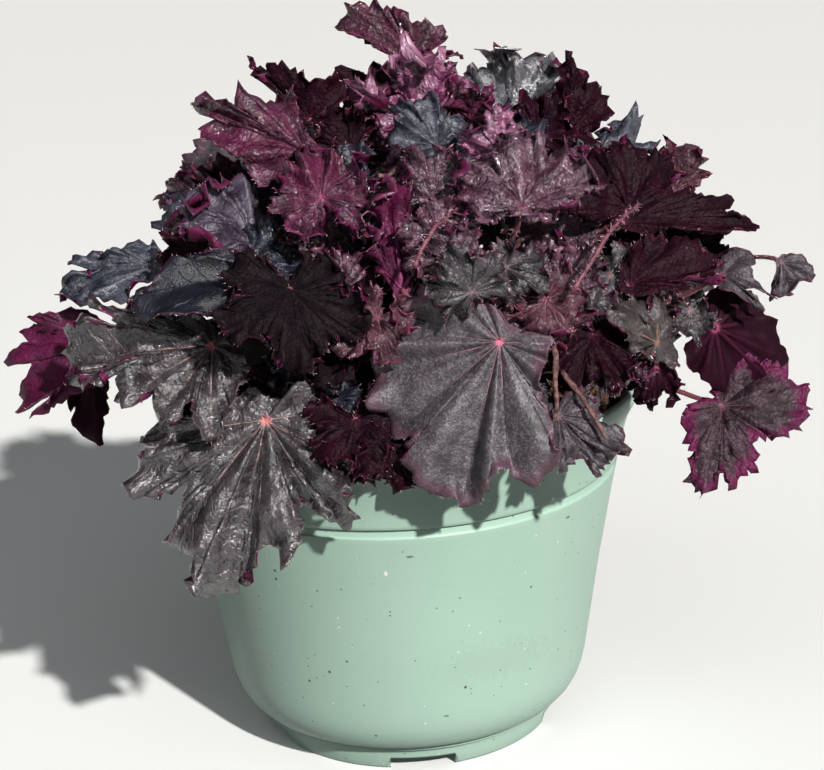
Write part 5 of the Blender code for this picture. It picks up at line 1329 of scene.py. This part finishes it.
def rough_skin(name, dark, light, grain_mm, relief_mm, rough):
    """A matt natural surface, such as bark or peat: two colours mottled over a grain of this size, which
    gives a dry crumbly look without any shine."""
    material, tree, shader = new_material(name, roughness=rough)
    place = add(tree, "ShaderNodeTexCoord", give="Object")
    coarse = add(tree, NOISE, {"Vector": place, "Scale": 1000.0 / grain_mm, "Detail": 6.0, "Roughness": 0.65})
    spread = add(tree, STEP, {"Value": coarse, "From Min": 0.35, "From Max": 0.65}, interpolation_type=SOFT)
    colour = add(tree, BLEND, {"Factor": spread, "A": linear(dark), "B": linear(light)}, COLOUR_OUT,
                 data_type="RGBA")
    normal = add(tree, "ShaderNodeBump", {"Height": coarse, "Distance": relief_mm * MM, "Strength": 0.9})
    tree.links.new(colour, shader.inputs["Base Color"])
    tree.links.new(normal, shader.inputs["Normal"])
    return material


# Specks on the pot: the cell in millimetres that may hold one, its size as a share of the cell, the share of
# cells that hold none, its colour and its strength.  The dots are 0.4 to 0.8 mm across, as on the real pot.
POT_SPECKS = ((3.0, 0.13, 0.86, "#4a4038", 0.8), (4.5, 0.10, 0.80, "#f4f6f0", 0.7),
              (9.0, 0.07, 0.70, "#2e2822", 0.9))
# The pot's splash, scuffs and water mark: where each shows in the front view, its half width and half height
# in millimetres, its colour and its strength.
POT_MARKS = (((386, 573), 1.0, 1.4, "#f6f8f4", 0.9), ((410, 557), 2.2, 0.6, "#3c342c", 0.75),
             ((568, 517), 1.4, 0.8, "#3c342c", 0.75), ((446, 716), 1.8, 0.5, "#3c342c", 0.75),
             ((500, 660), 30.0, 11.0, "#8a9a80", 0.12))


def pot_plastic(pot_tree):
    """Injection-moulded polypropylene, pale green: gives a soft satin sheen with faint flow marks, under
    specks of peat and lime, a splash, a few scuffs and a thin water mark."""
    material, tree, shader = new_material("pot_polypropylene_mint", ior=1.49, roughness=0.46)
    place = add(tree, "ShaderNodeTexCoord", give="Object")
    flow = add(tree, NOISE, {"Vector": place, "Scale": 22.0, "Detail": 5.0})
    colour = add(tree, BLEND, {"Factor": flow, "A": linear("#a9c9b7"), "B": linear("#b7d6c4")}, COLOUR_OUT,
                 data_type="RGBA")
    for cell_mm, dot_share, picked, tint, strength in POT_SPECKS:
        inputs = {"Vector": place, "Scale": 1000.0 / cell_mm}
        far = add(tree, CELLS, inputs)
        dot = add(tree, STEP, {"Value": far, "From Min": dot_share * 1.3, "From Max": dot_share * 0.7,
                               "To Max": strength}, interpolation_type=SOFT)
        pick = add(tree, "ShaderNodeSeparateColor", {0: add(tree, CELLS, inputs, "Color")})
        pick = add(tree, MATHS, {0: pick, 1: picked}, operation="GREATER_THAN")
        dot = add(tree, MATHS, {0: dot, 1: pick}, operation="MULTIPLY")
        colour = add(tree, BLEND, {"Factor": dot, "A": colour, "B": linear(tint)}, COLOUR_OUT,
                     data_type="RGBA")
    ragged = add(tree, NOISE, {"Vector": place, "Scale": 520.0, "Detail": 4.0, "Roughness": 0.7})
    for spot, half_width, half_height, tint, strength in POT_MARKS:
        centre = on_pot(pot_tree, *spot)
        away = add(tree, "ShaderNodeVectorMath", {0: place, 1: centre}, operation="SUBTRACT")
        flatter = (1 / half_width, 1 / half_width, 1 / half_height)
        away = add(tree, "ShaderNodeVectorMath", {0: away, 1: flatter}, operation="MULTIPLY")
        away = add(tree, "ShaderNodeVectorMath", {0: away}, "Value", operation="LENGTH")
        away = add(tree, MATHS, {0: away, 1: 1 / MM}, operation="MULTIPLY")
        away = add(tree, MATHS, {0: ragged, 1: 2.4, 2: away}, operation="MULTIPLY_ADD")
        mask = add(tree, STEP, {"Value": away, "From Min": 2.15, "From Max": 1.7, "To Max": strength},
                   interpolation_type=SOFT)
        colour = add(tree, BLEND, {"Factor": mask, "A": colour, "B": linear(tint)}, COLOUR_OUT,
                     data_type="RGBA")
    fine = add(tree, NOISE, {"Vector": place, "Scale": 900.0, "Detail": 2.0})
    normal = add(tree, "ShaderNodeBump", {"Height": fine, "Distance": 0.0002, "Strength": 0.3})
    tree.links.new(colour, shader.inputs["Base Color"])
    tree.links.new(normal, shader.inputs["Normal"])
    return material


# The light: where the sun stands, its strength, width and warm white; the soft panel's place, aim and size in
# metres, its strength in watts and its cool white; the pale sky's strength below and above a band at the
# horizon; and the camera's sensor in millimetres and nearest sight in metres.
SUN_WAY = (0.40, -0.70, 0.588)
SUN_POWER = 4.3
SUN_WIDTH = math.radians(2.0)
SUN_COLOUR = (1.0, 0.985, 0.96)
PANEL_PLACE = (-0.25, -0.9, 1.35)
PANEL_AIM = (0.0, 0.0, 0.2)
PANEL_SIZE = (1.6, 1.0)
PANEL_POWER = 5.0
PANEL_COLOUR = (0.93, 0.96, 1.0)
SKY_BELOW = 0.13
SKY_ABOVE = 0.08
SKY_BAND = (-0.25, 0.1)
SKY_COLOUR = (0.95, 0.97, 1.0, 1.0)
SENSOR_WIDTH = 36.0
NEAREST = 0.05


def camera():
    """The photograph's eye."""
    pitch, roll = math.radians(VIEW_PITCH), math.radians(VIEW_ROLL)
    right = RIGHT * math.cos(roll) + UP * math.sin(roll)
    up = -RIGHT * math.sin(roll) + UP * math.cos(roll)
    place = (EYE + POT_AXIS) * MM
    eye = bpy.data.cameras.new("eye")
    eye.sensor_width = SENSOR_WIDTH
    eye.lens = VIEW_FOCUS * eye.sensor_width / PHOTO_WIDTH
    eye.clip_start = NEAREST
    columns = np.stack([right, up, -FORWARD, place], 1)
    made = put("eye", eye)
    made.matrix_world = Matrix(columns.tolist() + [[0.0, 0.0, 0.0, 1.0]])
    bpy.context.scene.camera = made


def light():
    """One high sun from the front right, a soft panel and a pale even sky."""
    sun = bpy.data.lights.new("sun", "SUN")
    sun.energy = SUN_POWER
    sun.angle = SUN_WIDTH
    sun.color = SUN_COLOUR
    put("sun", sun).rotation_euler = Vector(SUN_WAY).to_track_quat("Z", "Y").to_euler()

    panel = bpy.data.lights.new("soft_panel", "AREA")
    panel.shape = "RECTANGLE"
    panel.size, panel.size_y = PANEL_SIZE
    panel.energy = PANEL_POWER
    panel.color = PANEL_COLOUR
    stood = put("soft_panel", panel)
    stood.location = PANEL_PLACE
    stood.rotation_euler = (Vector(PANEL_PLACE) - Vector(PANEL_AIM)).to_track_quat("Z", "Y").to_euler()

    world = bpy.data.worlds.new("sky")
    world.use_nodes = True
    tree = world.node_tree
    background = tree.nodes["Background"]
    up = add(tree, "ShaderNodeSeparateXYZ", {0: add(tree, "ShaderNodeTexCoord", give="Generated")}, "Z")
    level = add(tree, STEP, {"Value": up, "From Min": SKY_BAND[0], "From Max": SKY_BAND[1],
                             "To Min": SKY_BELOW, "To Max": SKY_ABOVE})
    tree.links.new(level, background.inputs["Strength"])
    background.inputs["Color"].default_value = SKY_COLOUR
    bpy.context.scene.world = world
    bpy.context.scene.view_settings.view_transform = "Standard"
    bpy.context.scene.view_settings.look = "None"


# Half the floor's width, in metres.
FLOOR_HALF = 6.0


def pale_floor():
    """Matt paper sweep: a plain pale ground that only takes the shadow."""
    h = FLOOR_HALF
    mesh = bpy.data.meshes.new("floor")
    mesh.from_pydata([(-h, -h, 0), (h, -h, 0), (h, h, 0), (-h, h, 0)], [], [(0, 1, 2, 3)])
    mesh.materials.append(new_material("studio_floor_paper", "#f8f8f6", roughness=0.9)[0])
    floor = put("floor", mesh)
    floor.visible_diffuse = False


# The pot, in millimetres: the same sizes as the part's.
POT_TURNS = 180
POT_TOP = 146.0
POT_LIP_RADIUS = 99.0
POT_SEAM = (89.0, 114.0)
POT_CORNER = (74.0, 24.0)
POT_SKIRT = (62.0, 9.0)
POT_FOOT_RADIUS = 60.0
POT_WALL = 1.8
POT_FLOOR = 12.0
NOTCH_COUNT = 5
NOTCH_FIRST = -86.0
NOTCH_WIDTH = 26.0
NOTCH_HEIGHT = 5.0
NOTCH_DEPTH = 30.0
DRAIN_RADIUS = 5.0
DRAIN_REACH = 46.0


# The pot's profile as offsets, right and up, from its lip, seam, corner and skirt, down the outside; then the
# same along the inside, from the foot up to the lip.
LIP_OUTSIDE = ((-1.6, 0.0), (-0.8, -0.3), (-0.15, -1.0), (0.0, -2.0), (-0.1, -3.6), (-0.6, -5.6),
               (-2.3, -9.0), (-4.6, -13.0), (-5.8, -17.0))
SEAM_OUTSIDE = ((2.4, 8.0), (1.1, 2.0), (0.9, 0.7), (0.6, 0.4), (-0.6, 0.3), (-0.9, 0.0), (-0.8, -0.5),
                (-0.7, -1.2), (-0.7, -2.9), (-0.6, -3.1), (-0.1, -3.4), (-0.1, -3.9), (-0.5, -6.0))
CORNER_OUTSIDE = ((7.5, 46.0), (1.6, 9.0), (0.8, 4.0), (-0.3, -0.8), (-1.6, -4.4), (-3.6, -8.0),
                  (-6.6, -11.4))
SKIRT_OUTSIDE = ((2.6, 2.2), (2.0, 1.9), (2.0, 1.5), (2.2, 1.1), (2.1, 0.6), (0.7, 0.2), (0.4, -0.4),
                 (-0.1, -3.2))
FOOT_OUTSIDE = ((0.4, 0.8), (0.0, 0.0))
FOOT_INSIDE = ((-2.0, 0.0), (-2.6, POT_FLOOR - POT_WALL))
CORNER_INSIDE = ((-6.0, -6.0), (-1.0 - POT_WALL, 4.0))
SEAM_INSIDE = ((-0.9 - POT_WALL, -3.8), (-POT_WALL, 1.0))
LIP_INSIDE = ((-5.6 - POT_WALL, -12.6), (-3.0, -4.0), (-2.7, -1.6), (-2.5, -0.5), (-2.1, -0.1))


def pot_profile():
    """Radius and height down the outside of the pot and back up the inside, with rounded corners."""
    lip, foot = (POT_LIP_RADIUS, POT_TOP), (POT_FOOT_RADIUS, 0.0)
    floor = [(0.0, POT_FLOOR - POT_WALL), (0.0, POT_FLOOR), (POT_FOOT_RADIUS - 3.0, POT_FLOOR)]
    parts = ((lip, LIP_OUTSIDE), (POT_SEAM, SEAM_OUTSIDE), (POT_CORNER, CORNER_OUTSIDE),
             (POT_SKIRT, SKIRT_OUTSIDE), (foot, FOOT_OUTSIDE), (foot, FOOT_INSIDE), ((0.0, 0.0), floor),
             (POT_CORNER, CORNER_INSIDE), (POT_SEAM, SEAM_INSIDE), (lip, LIP_INSIDE))
    return [(start[0] + right, start[1] + up) for start, offsets in parts for right, up in offsets]


def turned_mesh(profile, turns):
    """Points and faces of a profile turned about the pot's axis, closed where the profile meets the axis."""
    angle = math.tau * np.arange(turns) / turns
    points, faces, rings = [], [], []
    for r, z in profile:
        if r < 1e-6:
            rings.append([len(points)])
            points.append((0.0, 0.0, z))
        else:
            rings.append(list(range(len(points), len(points) + turns)))
            points += [(r * math.cos(a), r * math.sin(a), z) for a in angle]
    pairs = list(zip(rings, rings[1:]))
    if profile[0][0] > 1e-6:
        pairs.append((rings[-1], rings[0]))
    for here, there in pairs:
        for i in range(turns):
            j = (i + 1) % turns
            if len(here) == 1 and len(there) == 1:
                break
            if len(here) == 1:
                faces.append((here[0], there[i], there[j]))
            elif len(there) == 1:
                faces.append((here[i], there[0], here[j]))
            else:
                faces.append((here[i], there[i], there[j], here[j]))
    return np.array(points), faces


def on_pot(pot_tree, across, down):
    """The point of the pot's outside, in metres, that is seen at (across, down) in the front view."""
    way = unit(from_view(across, down, 0.0) - EYE)
    hit = pot_tree.ray_cast(Vector(EYE), Vector(way))[0]
    return tuple((np.array(hit) + POT_AXIS) * MM)


def pot_piece():
    """The pot with its foot notches and drain holes cut out."""
    points, faces = turned_mesh(pot_profile(), POT_TURNS)
    pot = mesh_piece("pot_shell", points, faces, [pot_plastic(BVHTree.FromPolygons(points.tolist(), faces))])
    work = bmesh.new()
    for k in range(NOTCH_COUNT):
        turn = math.radians(NOTCH_FIRST + 360.0 * k / NOTCH_COUNT)
        radial = Vector((math.cos(turn), math.sin(turn), 0.0))
        axis = Vector(POT_AXIS) * MM
        size = Matrix.Diagonal((NOTCH_DEPTH * MM, NOTCH_WIDTH * MM, 2 * NOTCH_HEIGHT * MM, 1.0))
        foot = Matrix.Translation(axis + radial * POT_FOOT_RADIUS * MM)
        place = foot @ Matrix.Rotation(turn, 4, "Z") @ size
        bmesh.ops.create_cube(work, size=1.0, matrix=place)
        place = Matrix.Translation(axis + (radial * DRAIN_REACH + Vector((0.0, 0.0, POT_FLOOR))) * MM)
        bmesh.ops.create_cone(work, cap_ends=True, segments=24, radius1=DRAIN_RADIUS * MM,
                              radius2=DRAIN_RADIUS * MM, depth=2 * POT_FLOOR * MM, matrix=place)
    mesh = bpy.data.meshes.new("cutters")
    work.to_mesh(mesh)
    work.free()
    cutters = put("cutters", mesh)
    cut = pot.modifiers.new("notches", "BOOLEAN")
    cut.operation = "DIFFERENCE"
    cut.object = cutters
    cut.solver = "EXACT"
    made_plain(pot)
    bpy.data.objects.remove(cutters)
    return pot


def made_plain(piece):
    """Takes what a piece's modifiers make as its own mesh, and clears them."""
    made = bpy.data.meshes.new_from_object(piece.evaluated_get(bpy.context.evaluated_depsgraph_get()))
    piece.modifiers.clear()
    piece.data = made


def hair_form(tree, given, outward):
    """A three-sided spike that leans a little off the surface: its shape, turn and scale."""
    lean = add(tree, "FunctionNodeRandomValue", {"Min": (-1.0,) * 3, "Max": (1.0,) * 3, "Seed": 5},
               data_type="FLOAT_VECTOR")
    lean = add(tree, "ShaderNodeVectorMath", {0: lean, "Scale": given["Lean"]}, operation="SCALE")
    way = add(tree, "ShaderNodeVectorMath", {0: outward, 1: lean}, operation="ADD")
    turn = add(tree, "FunctionNodeAlignRotationToVector", {"Vector": way}, axis="Z")
    form = add(tree, "GeometryNodeMeshCone", {"Vertices": 3, "Radius Bottom": given["Thickness"],
                                              "Depth": given["Length"]}, fill_type="NONE")
    scale = add(tree, "FunctionNodeRandomValue", {2: HAIR_SCALES[0], 3: HAIR_SCALES[1], "Seed": 7}, "Value",
                data_type="FLOAT")
    return form, turn, scale


def crumb_form(tree, given):
    """A rounded crumb turned and flattened at random: its shape, turn and scale."""
    form = add(tree, "GeometryNodeMeshIcoSphere", {"Radius": given["Thickness"], "Subdivisions": 1})
    scale = add(tree, "FunctionNodeRandomValue", {"Min": CRUMB_SCALES[0], "Max": CRUMB_SCALES[1], "Seed": 7},
                data_type="FLOAT_VECTOR")
    turn = add(tree, "FunctionNodeRandomValue", {"Min": (0.0,) * 3, "Max": (6.3,) * 3, "Seed": 9},
               data_type="FLOAT_VECTOR")
    return form, turn, scale


def scatter_tree(name, shape, sizes, material):
    """A tree that stands a small shape all over a surface, with named sizes and fixed seeds, and gives it as
    real geometry."""
    tree = bpy.data.node_groups.new(name, "GeometryNodeTree")
    tree.interface.new_socket("Surface", in_out="INPUT", socket_type="NodeSocketGeometry")
    for label, value in sizes.items():
        socket = tree.interface.new_socket(label, in_out="INPUT", socket_type="NodeSocketFloat")
        socket.default_value = value
    tree.interface.new_socket("Geometry", in_out="OUTPUT", socket_type="NodeSocketGeometry")
    given = tree.nodes.new("NodeGroupInput").outputs
    spread = add(tree, "GeometryNodeDistributePointsOnFaces",
                 {"Mesh": given["Surface"], "Density": given["Count to a square metre"], "Seed": 3})
    if shape == "hair":
        form, turn, scale = hair_form(tree, given, spread.node.outputs["Normal"])
    else:
        form, turn, scale = crumb_form(tree, given)
    stood = add(tree, "GeometryNodeInstanceOnPoints", {"Points": spread, "Instance": form, "Rotation": turn,
                                                       "Scale": scale})
    real = add(tree, "GeometryNodeRealizeInstances", {"Geometry": stood})
    real = add(tree, "GeometryNodeSetMaterial", {"Geometry": real, "Material": material})
    add(tree, "NodeGroupOutput", {"Geometry": real})
    return tree


def scattered(name, points, faces, shape, sizes, material):
    """A piece of many small shapes that stand on the faces given; only the shapes are kept."""
    piece = mesh_piece(name, points, faces, [])
    made = piece.modifiers.new(name, "NODES")
    made.node_group = scatter_tree(name, shape, sizes, material)
    for item in made.node_group.interface.items_tree:
        if item.in_out == "INPUT" and item.name in sizes:
            made[item.identifier] = sizes[item.name]
    made_plain(piece)
    piece.data.name = name
    return piece


# Small leaves that fill the inside of the plant, placed like the rest: joint, tip, the way each faces, its
# kind and its tone.
SMALL_LEAVES = (
    ((356, 420, -95), (374, 484, -105), (0.1, 0.3), "young", "maroon"),
    ((392, 440, -98), (402, 494, -105), (0.2, 0.3), "young", "maroon"),
    ((330, 400, -84), (340, 452, -92), (-0.1, 0.3), "young", "navy"),
    ((592, 336, -82), (566, 392, -94), (0.1, 0.5), "young", "maroon"),
    ((616, 350, -72), (608, 396, -86), (0.2, 0.5), "young", "magenta"),
    ((640, 372, -60), (650, 408, -70), (0.4, 0.5), "young", "maroon"),
    ((560, 380, -84), (590, 420, -98), (0.2, 0.6), "young", "dusk"),
    ((520, 234, -44), (562, 262, -52), (0.0, 0.7), "ruffled", "mauve"),
    ((566, 224, -34), (602, 252, -42), (0.1, 0.7), "young", "mauve"),
    ((604, 214, -24), (646, 240, -30), (0.2, 0.7), "young", "maroon"),
    ((470, 214, -44), (498, 242, -52), (0.0, 0.5), "young", "navy"),
    ((428, 216, -52), (436, 258, -60), (0.1, 0.3), "ruffled", "magenta"),
    ((356, 262, -62), (378, 304, -72), (-0.1, 0.4), "young", "maroon"),
    ((250, 266, -62), (300, 300, -70), (-0.1, 0.6), "ruffled", "navy"),
    ((332, 300, -66), (306, 346, -78), (-0.2, 0.4), "young", "mauve"),
    ((304, 348, -72), (334, 392, -86), (-0.1, 0.4), "young", "navy"),
    ((200, 252, -46), (158, 270, -54), (-0.2, 0.7), "young", "maroon"),
    ((546, 300, -88), (578, 334, -94), (0.2, 0.6), "ruffled", "pink"),
    ((610, 276, -70), (644, 320, -78), (0.2, 0.5), "young", "grey"),
    ((472, 118, -34), (488, 84, -40), (0.1, 0.3), "ruffled", "magenta"),
    ((540, 136, -32), (528, 96, -22), (0.1, 0.4), "ruffled", "maroon"),
    ((600, 180, -30), (624, 148, -24), (0.2, 0.5), "young", "magenta"),
    ((350, 152, -30), (330, 108, -22), (-0.1, 0.3), "young", "maroon"),
    ((414, 330, -84), (392, 300, -88), (-0.1, 0.5), "young", "pink"),
    ((456, 262, -80), (430, 226, -80), (-0.1, 0.3), "young", "mauve"),
    ((690, 232, -24), (724, 262, -30), (0.3, 0.6), "young", "maroon"),
    ((236, 196, 0), (214, 168, 6), (-0.2, 0.4), "young", "magenta"),
)
SMALL_SEED = 110
# One dead leaf that lies among the stalks, given like the small leaves.
DEAD_LEAF = ((568, 376, -84), (592, 398, -94), (0.6, 0.1), "young", "withered")
DEAD_SEED = 140
# Stalks of leaves that have withered away: the points they pass, read in the front view with their depth.
DRY_STALKS = (
    ((556, 362, -84), (566, 378, -94), (580, 394, -100), (594, 416, -104), (606, 438, -106)),
    ((552, 336, -92), (556, 358, -98), (555, 382, -102), (557, 404, -104), (554, 418, -104)),
    ((402, 246, -58), (416, 232, -62), (428, 218, -62), (436, 204, -60)),
    ((364, 188, -46), (376, 176, -50), (388, 176, -50), (396, 168, -48)),
    ((512, 250, -66), (520, 240, -70), (530, 236, -70)),
)
DRY_RADIUS = 1.3
# Living stalks that show between the leaves, given the same way.
FRESH_STALKS = (
    ((572, 292, -98), (590, 264, -94), (608, 234, -86), (626, 214, -76), (640, 204, -66)),
    ((414, 268, -96), (422, 248, -94), (434, 228, -88), (448, 216, -78), (460, 206, -66)),
)
FRESH_RADIUS = 1.0
# The tube of such a stalk: points round it and along it, how much it tapers and how uneven it is.
LONE_ROUND = 8
LONE_LENGTHS = 24
LONE_TAPER = 0.45
LONE_UNEVEN = 0.22


def small_leaf(name, seed, row):
    """A leaf that only the scene has, from its row."""
    joint, tip, face, kind, tone = row
    return Leaf(name, kind, joint, tip, face, seed=seed, ruffle=0.08, droop=0.5, tone=tone)


def lone_stalk(points_in_view, seed, radius):
    """Points and faces of a lone leaf stalk, uneven and tapered to its end."""
    keys = np.array([from_view(*point) for point in points_in_view])
    t = np.linspace(0, len(keys) - 1, LONE_LENGTHS)
    line = np.stack([np.interp(t, np.arange(len(keys)), keys[:, k]) for k in range(3)], 1)
    line[1:-1] = (line[:-2] + line[1:-1] * 2 + line[2:]) / 4
    uneven = LONE_UNEVEN * np.sin(t * 7.0 + seed) * np.sin(t * 3.1)
    wide = radius * (1.0 - LONE_TAPER * t / t[-1]) * (1.0 + uneven)
    return tube(line, wide, LONE_ROUND, unit(np.cross(line[1] - line[0], (0.3, 0.5, 0.8))))


def rides(piece, slot, *nodes):
    """Fixes a piece to the one body and hides the nodes it stands in for; the slot is not used."""
    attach(piece, "root")
    if nodes:
        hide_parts(*nodes)


# The slot for a tone that has none of its own.
SLOT_OF = {"withered": "crown_wood", "dusk": "leaf_grey"}
# The crown and the soil's top that are drawn: bands down the dome and steps round each.
FINE_CROWN_BANDS = 12
FINE_CROWN_STEPS = 48
SOIL_STEPS = 60


def settled_leaves():
    """The part's leaves, and the young ones of its crown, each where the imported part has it."""
    leaves = LEAVES + [back_leaf(i) for i in range(BACK_COUNT)]
    young = YOUNG + [side_leaf(i) for i in range(len(SIDES))]
    spread_feet(leaves + young)
    for leaf in leaves:
        settle(leaf, corners_of(leaf.name))
    crown_corners = corners_of("crown")
    for leaf in young:
        leaf.base = leaf.base - leaf.base_way * (YOUNG_SINK + GAP)
        settle(leaf, crown_corners)
    return leaves, young


def small_leaves():
    """The leaves that only the scene has, stood on the crown like the rest, with the dead one last."""
    small = [small_leaf(f"small_leaf_{i + 1:02d}", SMALL_SEED + i, row) for i, row in enumerate(SMALL_LEAVES)]
    small.append(small_leaf("dead_leaf", DEAD_SEED, DEAD_LEAF))
    spread_feet(small)
    for leaf in small:
        place(leaf)
        leaf.base = leaf.base - leaf.base_way * YOUNG_SINK
    return small


def foliage():
    """Every leaf in its own skins; gives the points, stalk faces and rim faces where hairs grow."""
    leaves, young = settled_leaves()
    named = [(leaf, f"fine_{leaf.name}", (leaf.name,)) for leaf in leaves]
    named += [(leaf, f"fine_{leaf.name}", ("crown",)) for leaf in young]
    named += [(leaf, leaf.name, ()) for leaf in small_leaves()]
    tops = {look: leaf_skin(f"leaf_skin_{look}", values) for look, values in LOOKS.items()}
    unders = {look: leaf_skin(f"leaf_underside_{look}", values) for look, values in UNDERSIDES.items()}
    stalks = stalk_skin()
    grounds = []
    for leaf, name, nodes in named:
        top = tops[LOOK_OF.get(leaf.name, leaf.tone)]
        piece = leaf_piece(leaf, name, [top, unders[UNDERSIDE_OF.get(leaf.name, "vivid")], stalks])
        rides(piece, SLOT_OF.get(leaf.tone, f"leaf_{leaf.tone}"), *nodes)
        grounds.append(hairy_ground(piece))
    return grounds


def fresh_stalks():
    """Living stalks: a fleshy red-brown skin under pale hairs; gives where the hairs grow."""
    skin = rough_skin("hairy_stalk_skin", "#431426", "#8c5262", grain_mm=1.6, relief_mm=0.2, rough=0.5)
    grounds = []
    for i, row in enumerate(FRESH_STALKS):
        points, faces = lone_stalk(row, i, FRESH_RADIUS)
        rides(mesh_piece(f"fresh_stalk_{i + 1}", points, faces, [skin]), "leaf_pink")
        # Hairs stand on the stalk's sides, without its two end faces, and it has no rim.
        grounds.append((points, np.array(faces[:-2]), np.zeros((0, 4), int)))
    return grounds


def hairs(grounds):
    """Plant hair: clear pointed cells 1 to 2 mm long, which catch the light as a pale pinkish fuzz."""
    hair = new_material("leaf_hair", "#e4c4c8", roughness=0.4, ior=1.5)[0]
    points = np.concatenate([ground[0] for ground in grounds])
    firsts = np.cumsum([0] + [len(ground[0]) for ground in grounds])
    for name, kind, sizes in (("stalk_hairs", 1, STALK_HAIR), ("margin_hairs", 2, MARGIN_HAIR)):
        faces = np.concatenate([ground[kind] + first for ground, first in zip(grounds, firsts)])
        rides(scattered(name, points, faces.tolist(), "hair", sizes, hair), "leaf_pink")


def dry_stalks():
    """Dry stalks: papery skin, brown and wrinkled, with no shine left."""
    skin = rough_skin("dry_stalk_papery", "#34201e", "#8c6460", grain_mm=2.2, relief_mm=0.5, rough=0.7)
    for i, row in enumerate(DRY_STALKS):
        points, faces = lone_stalk(row, i, DRY_RADIUS)
        rides(mesh_piece(f"dry_stalk_{i + 1}", points, faces, [skin]), "crown_wood")


def crown_piece():
    """The crown: woody, scaly bark of old leaf bases, brown and quite dull."""
    points, faces = turned_mesh(crown_profile(FINE_CROWN_BANDS), FINE_CROWN_STEPS)
    faces = [face[::-1] if len(face) == 3 and face[0] == 0 else face for face in faces]
    bark = rough_skin("crown_bark", "#24120e", "#7a4a38", grain_mm=4.0, relief_mm=1.6, rough=0.85)
    return mesh_piece("crown_stump", points, faces, [bark])


def dress_soil():
    """Potting mix: composted bark and peat, dark and matt, with crumbs and grains of white perlite on it."""
    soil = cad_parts["soil"]
    for slot in soil.material_slots:
        slot.material = rough_skin("soil_bark_mix", "#1c130e", "#4a3628", grain_mm=3.0, relief_mm=1.2,
                                   rough=0.95)
    disc, faces = turned_mesh([(radius, SOIL_TOP) for radius in SOIL_REACH], SOIL_STEPS)
    faces = [face[::-1] for face in faces[:SOIL_STEPS]]
    crumb = rough_skin("bark_crumb", "#20140e", "#5c4230", grain_mm=2.0, relief_mm=0.5, rough=0.95)
    grain = rough_skin("perlite_grain", "#b8b4a8", "#f0eee6", grain_mm=0.8, relief_mm=0.3, rough=0.9)
    rides(scattered("soil_crumbs", disc, faces, "crumb", SOIL_CRUMBS, crumb), "soil_mix")
    rides(scattered("soil_perlite", disc, faces, "crumb", SOIL_PERLITE, grain), "soil_mix")


# The light and the floor, then every piece in its place.
camera()
light()
pale_floor()
hairs(foliage() + fresh_stalks())
dry_stalks()
rides(pot_piece(), "pot_plastic", "pot")
rides(crown_piece(), "crown_wood", "crown")
dress_soil()
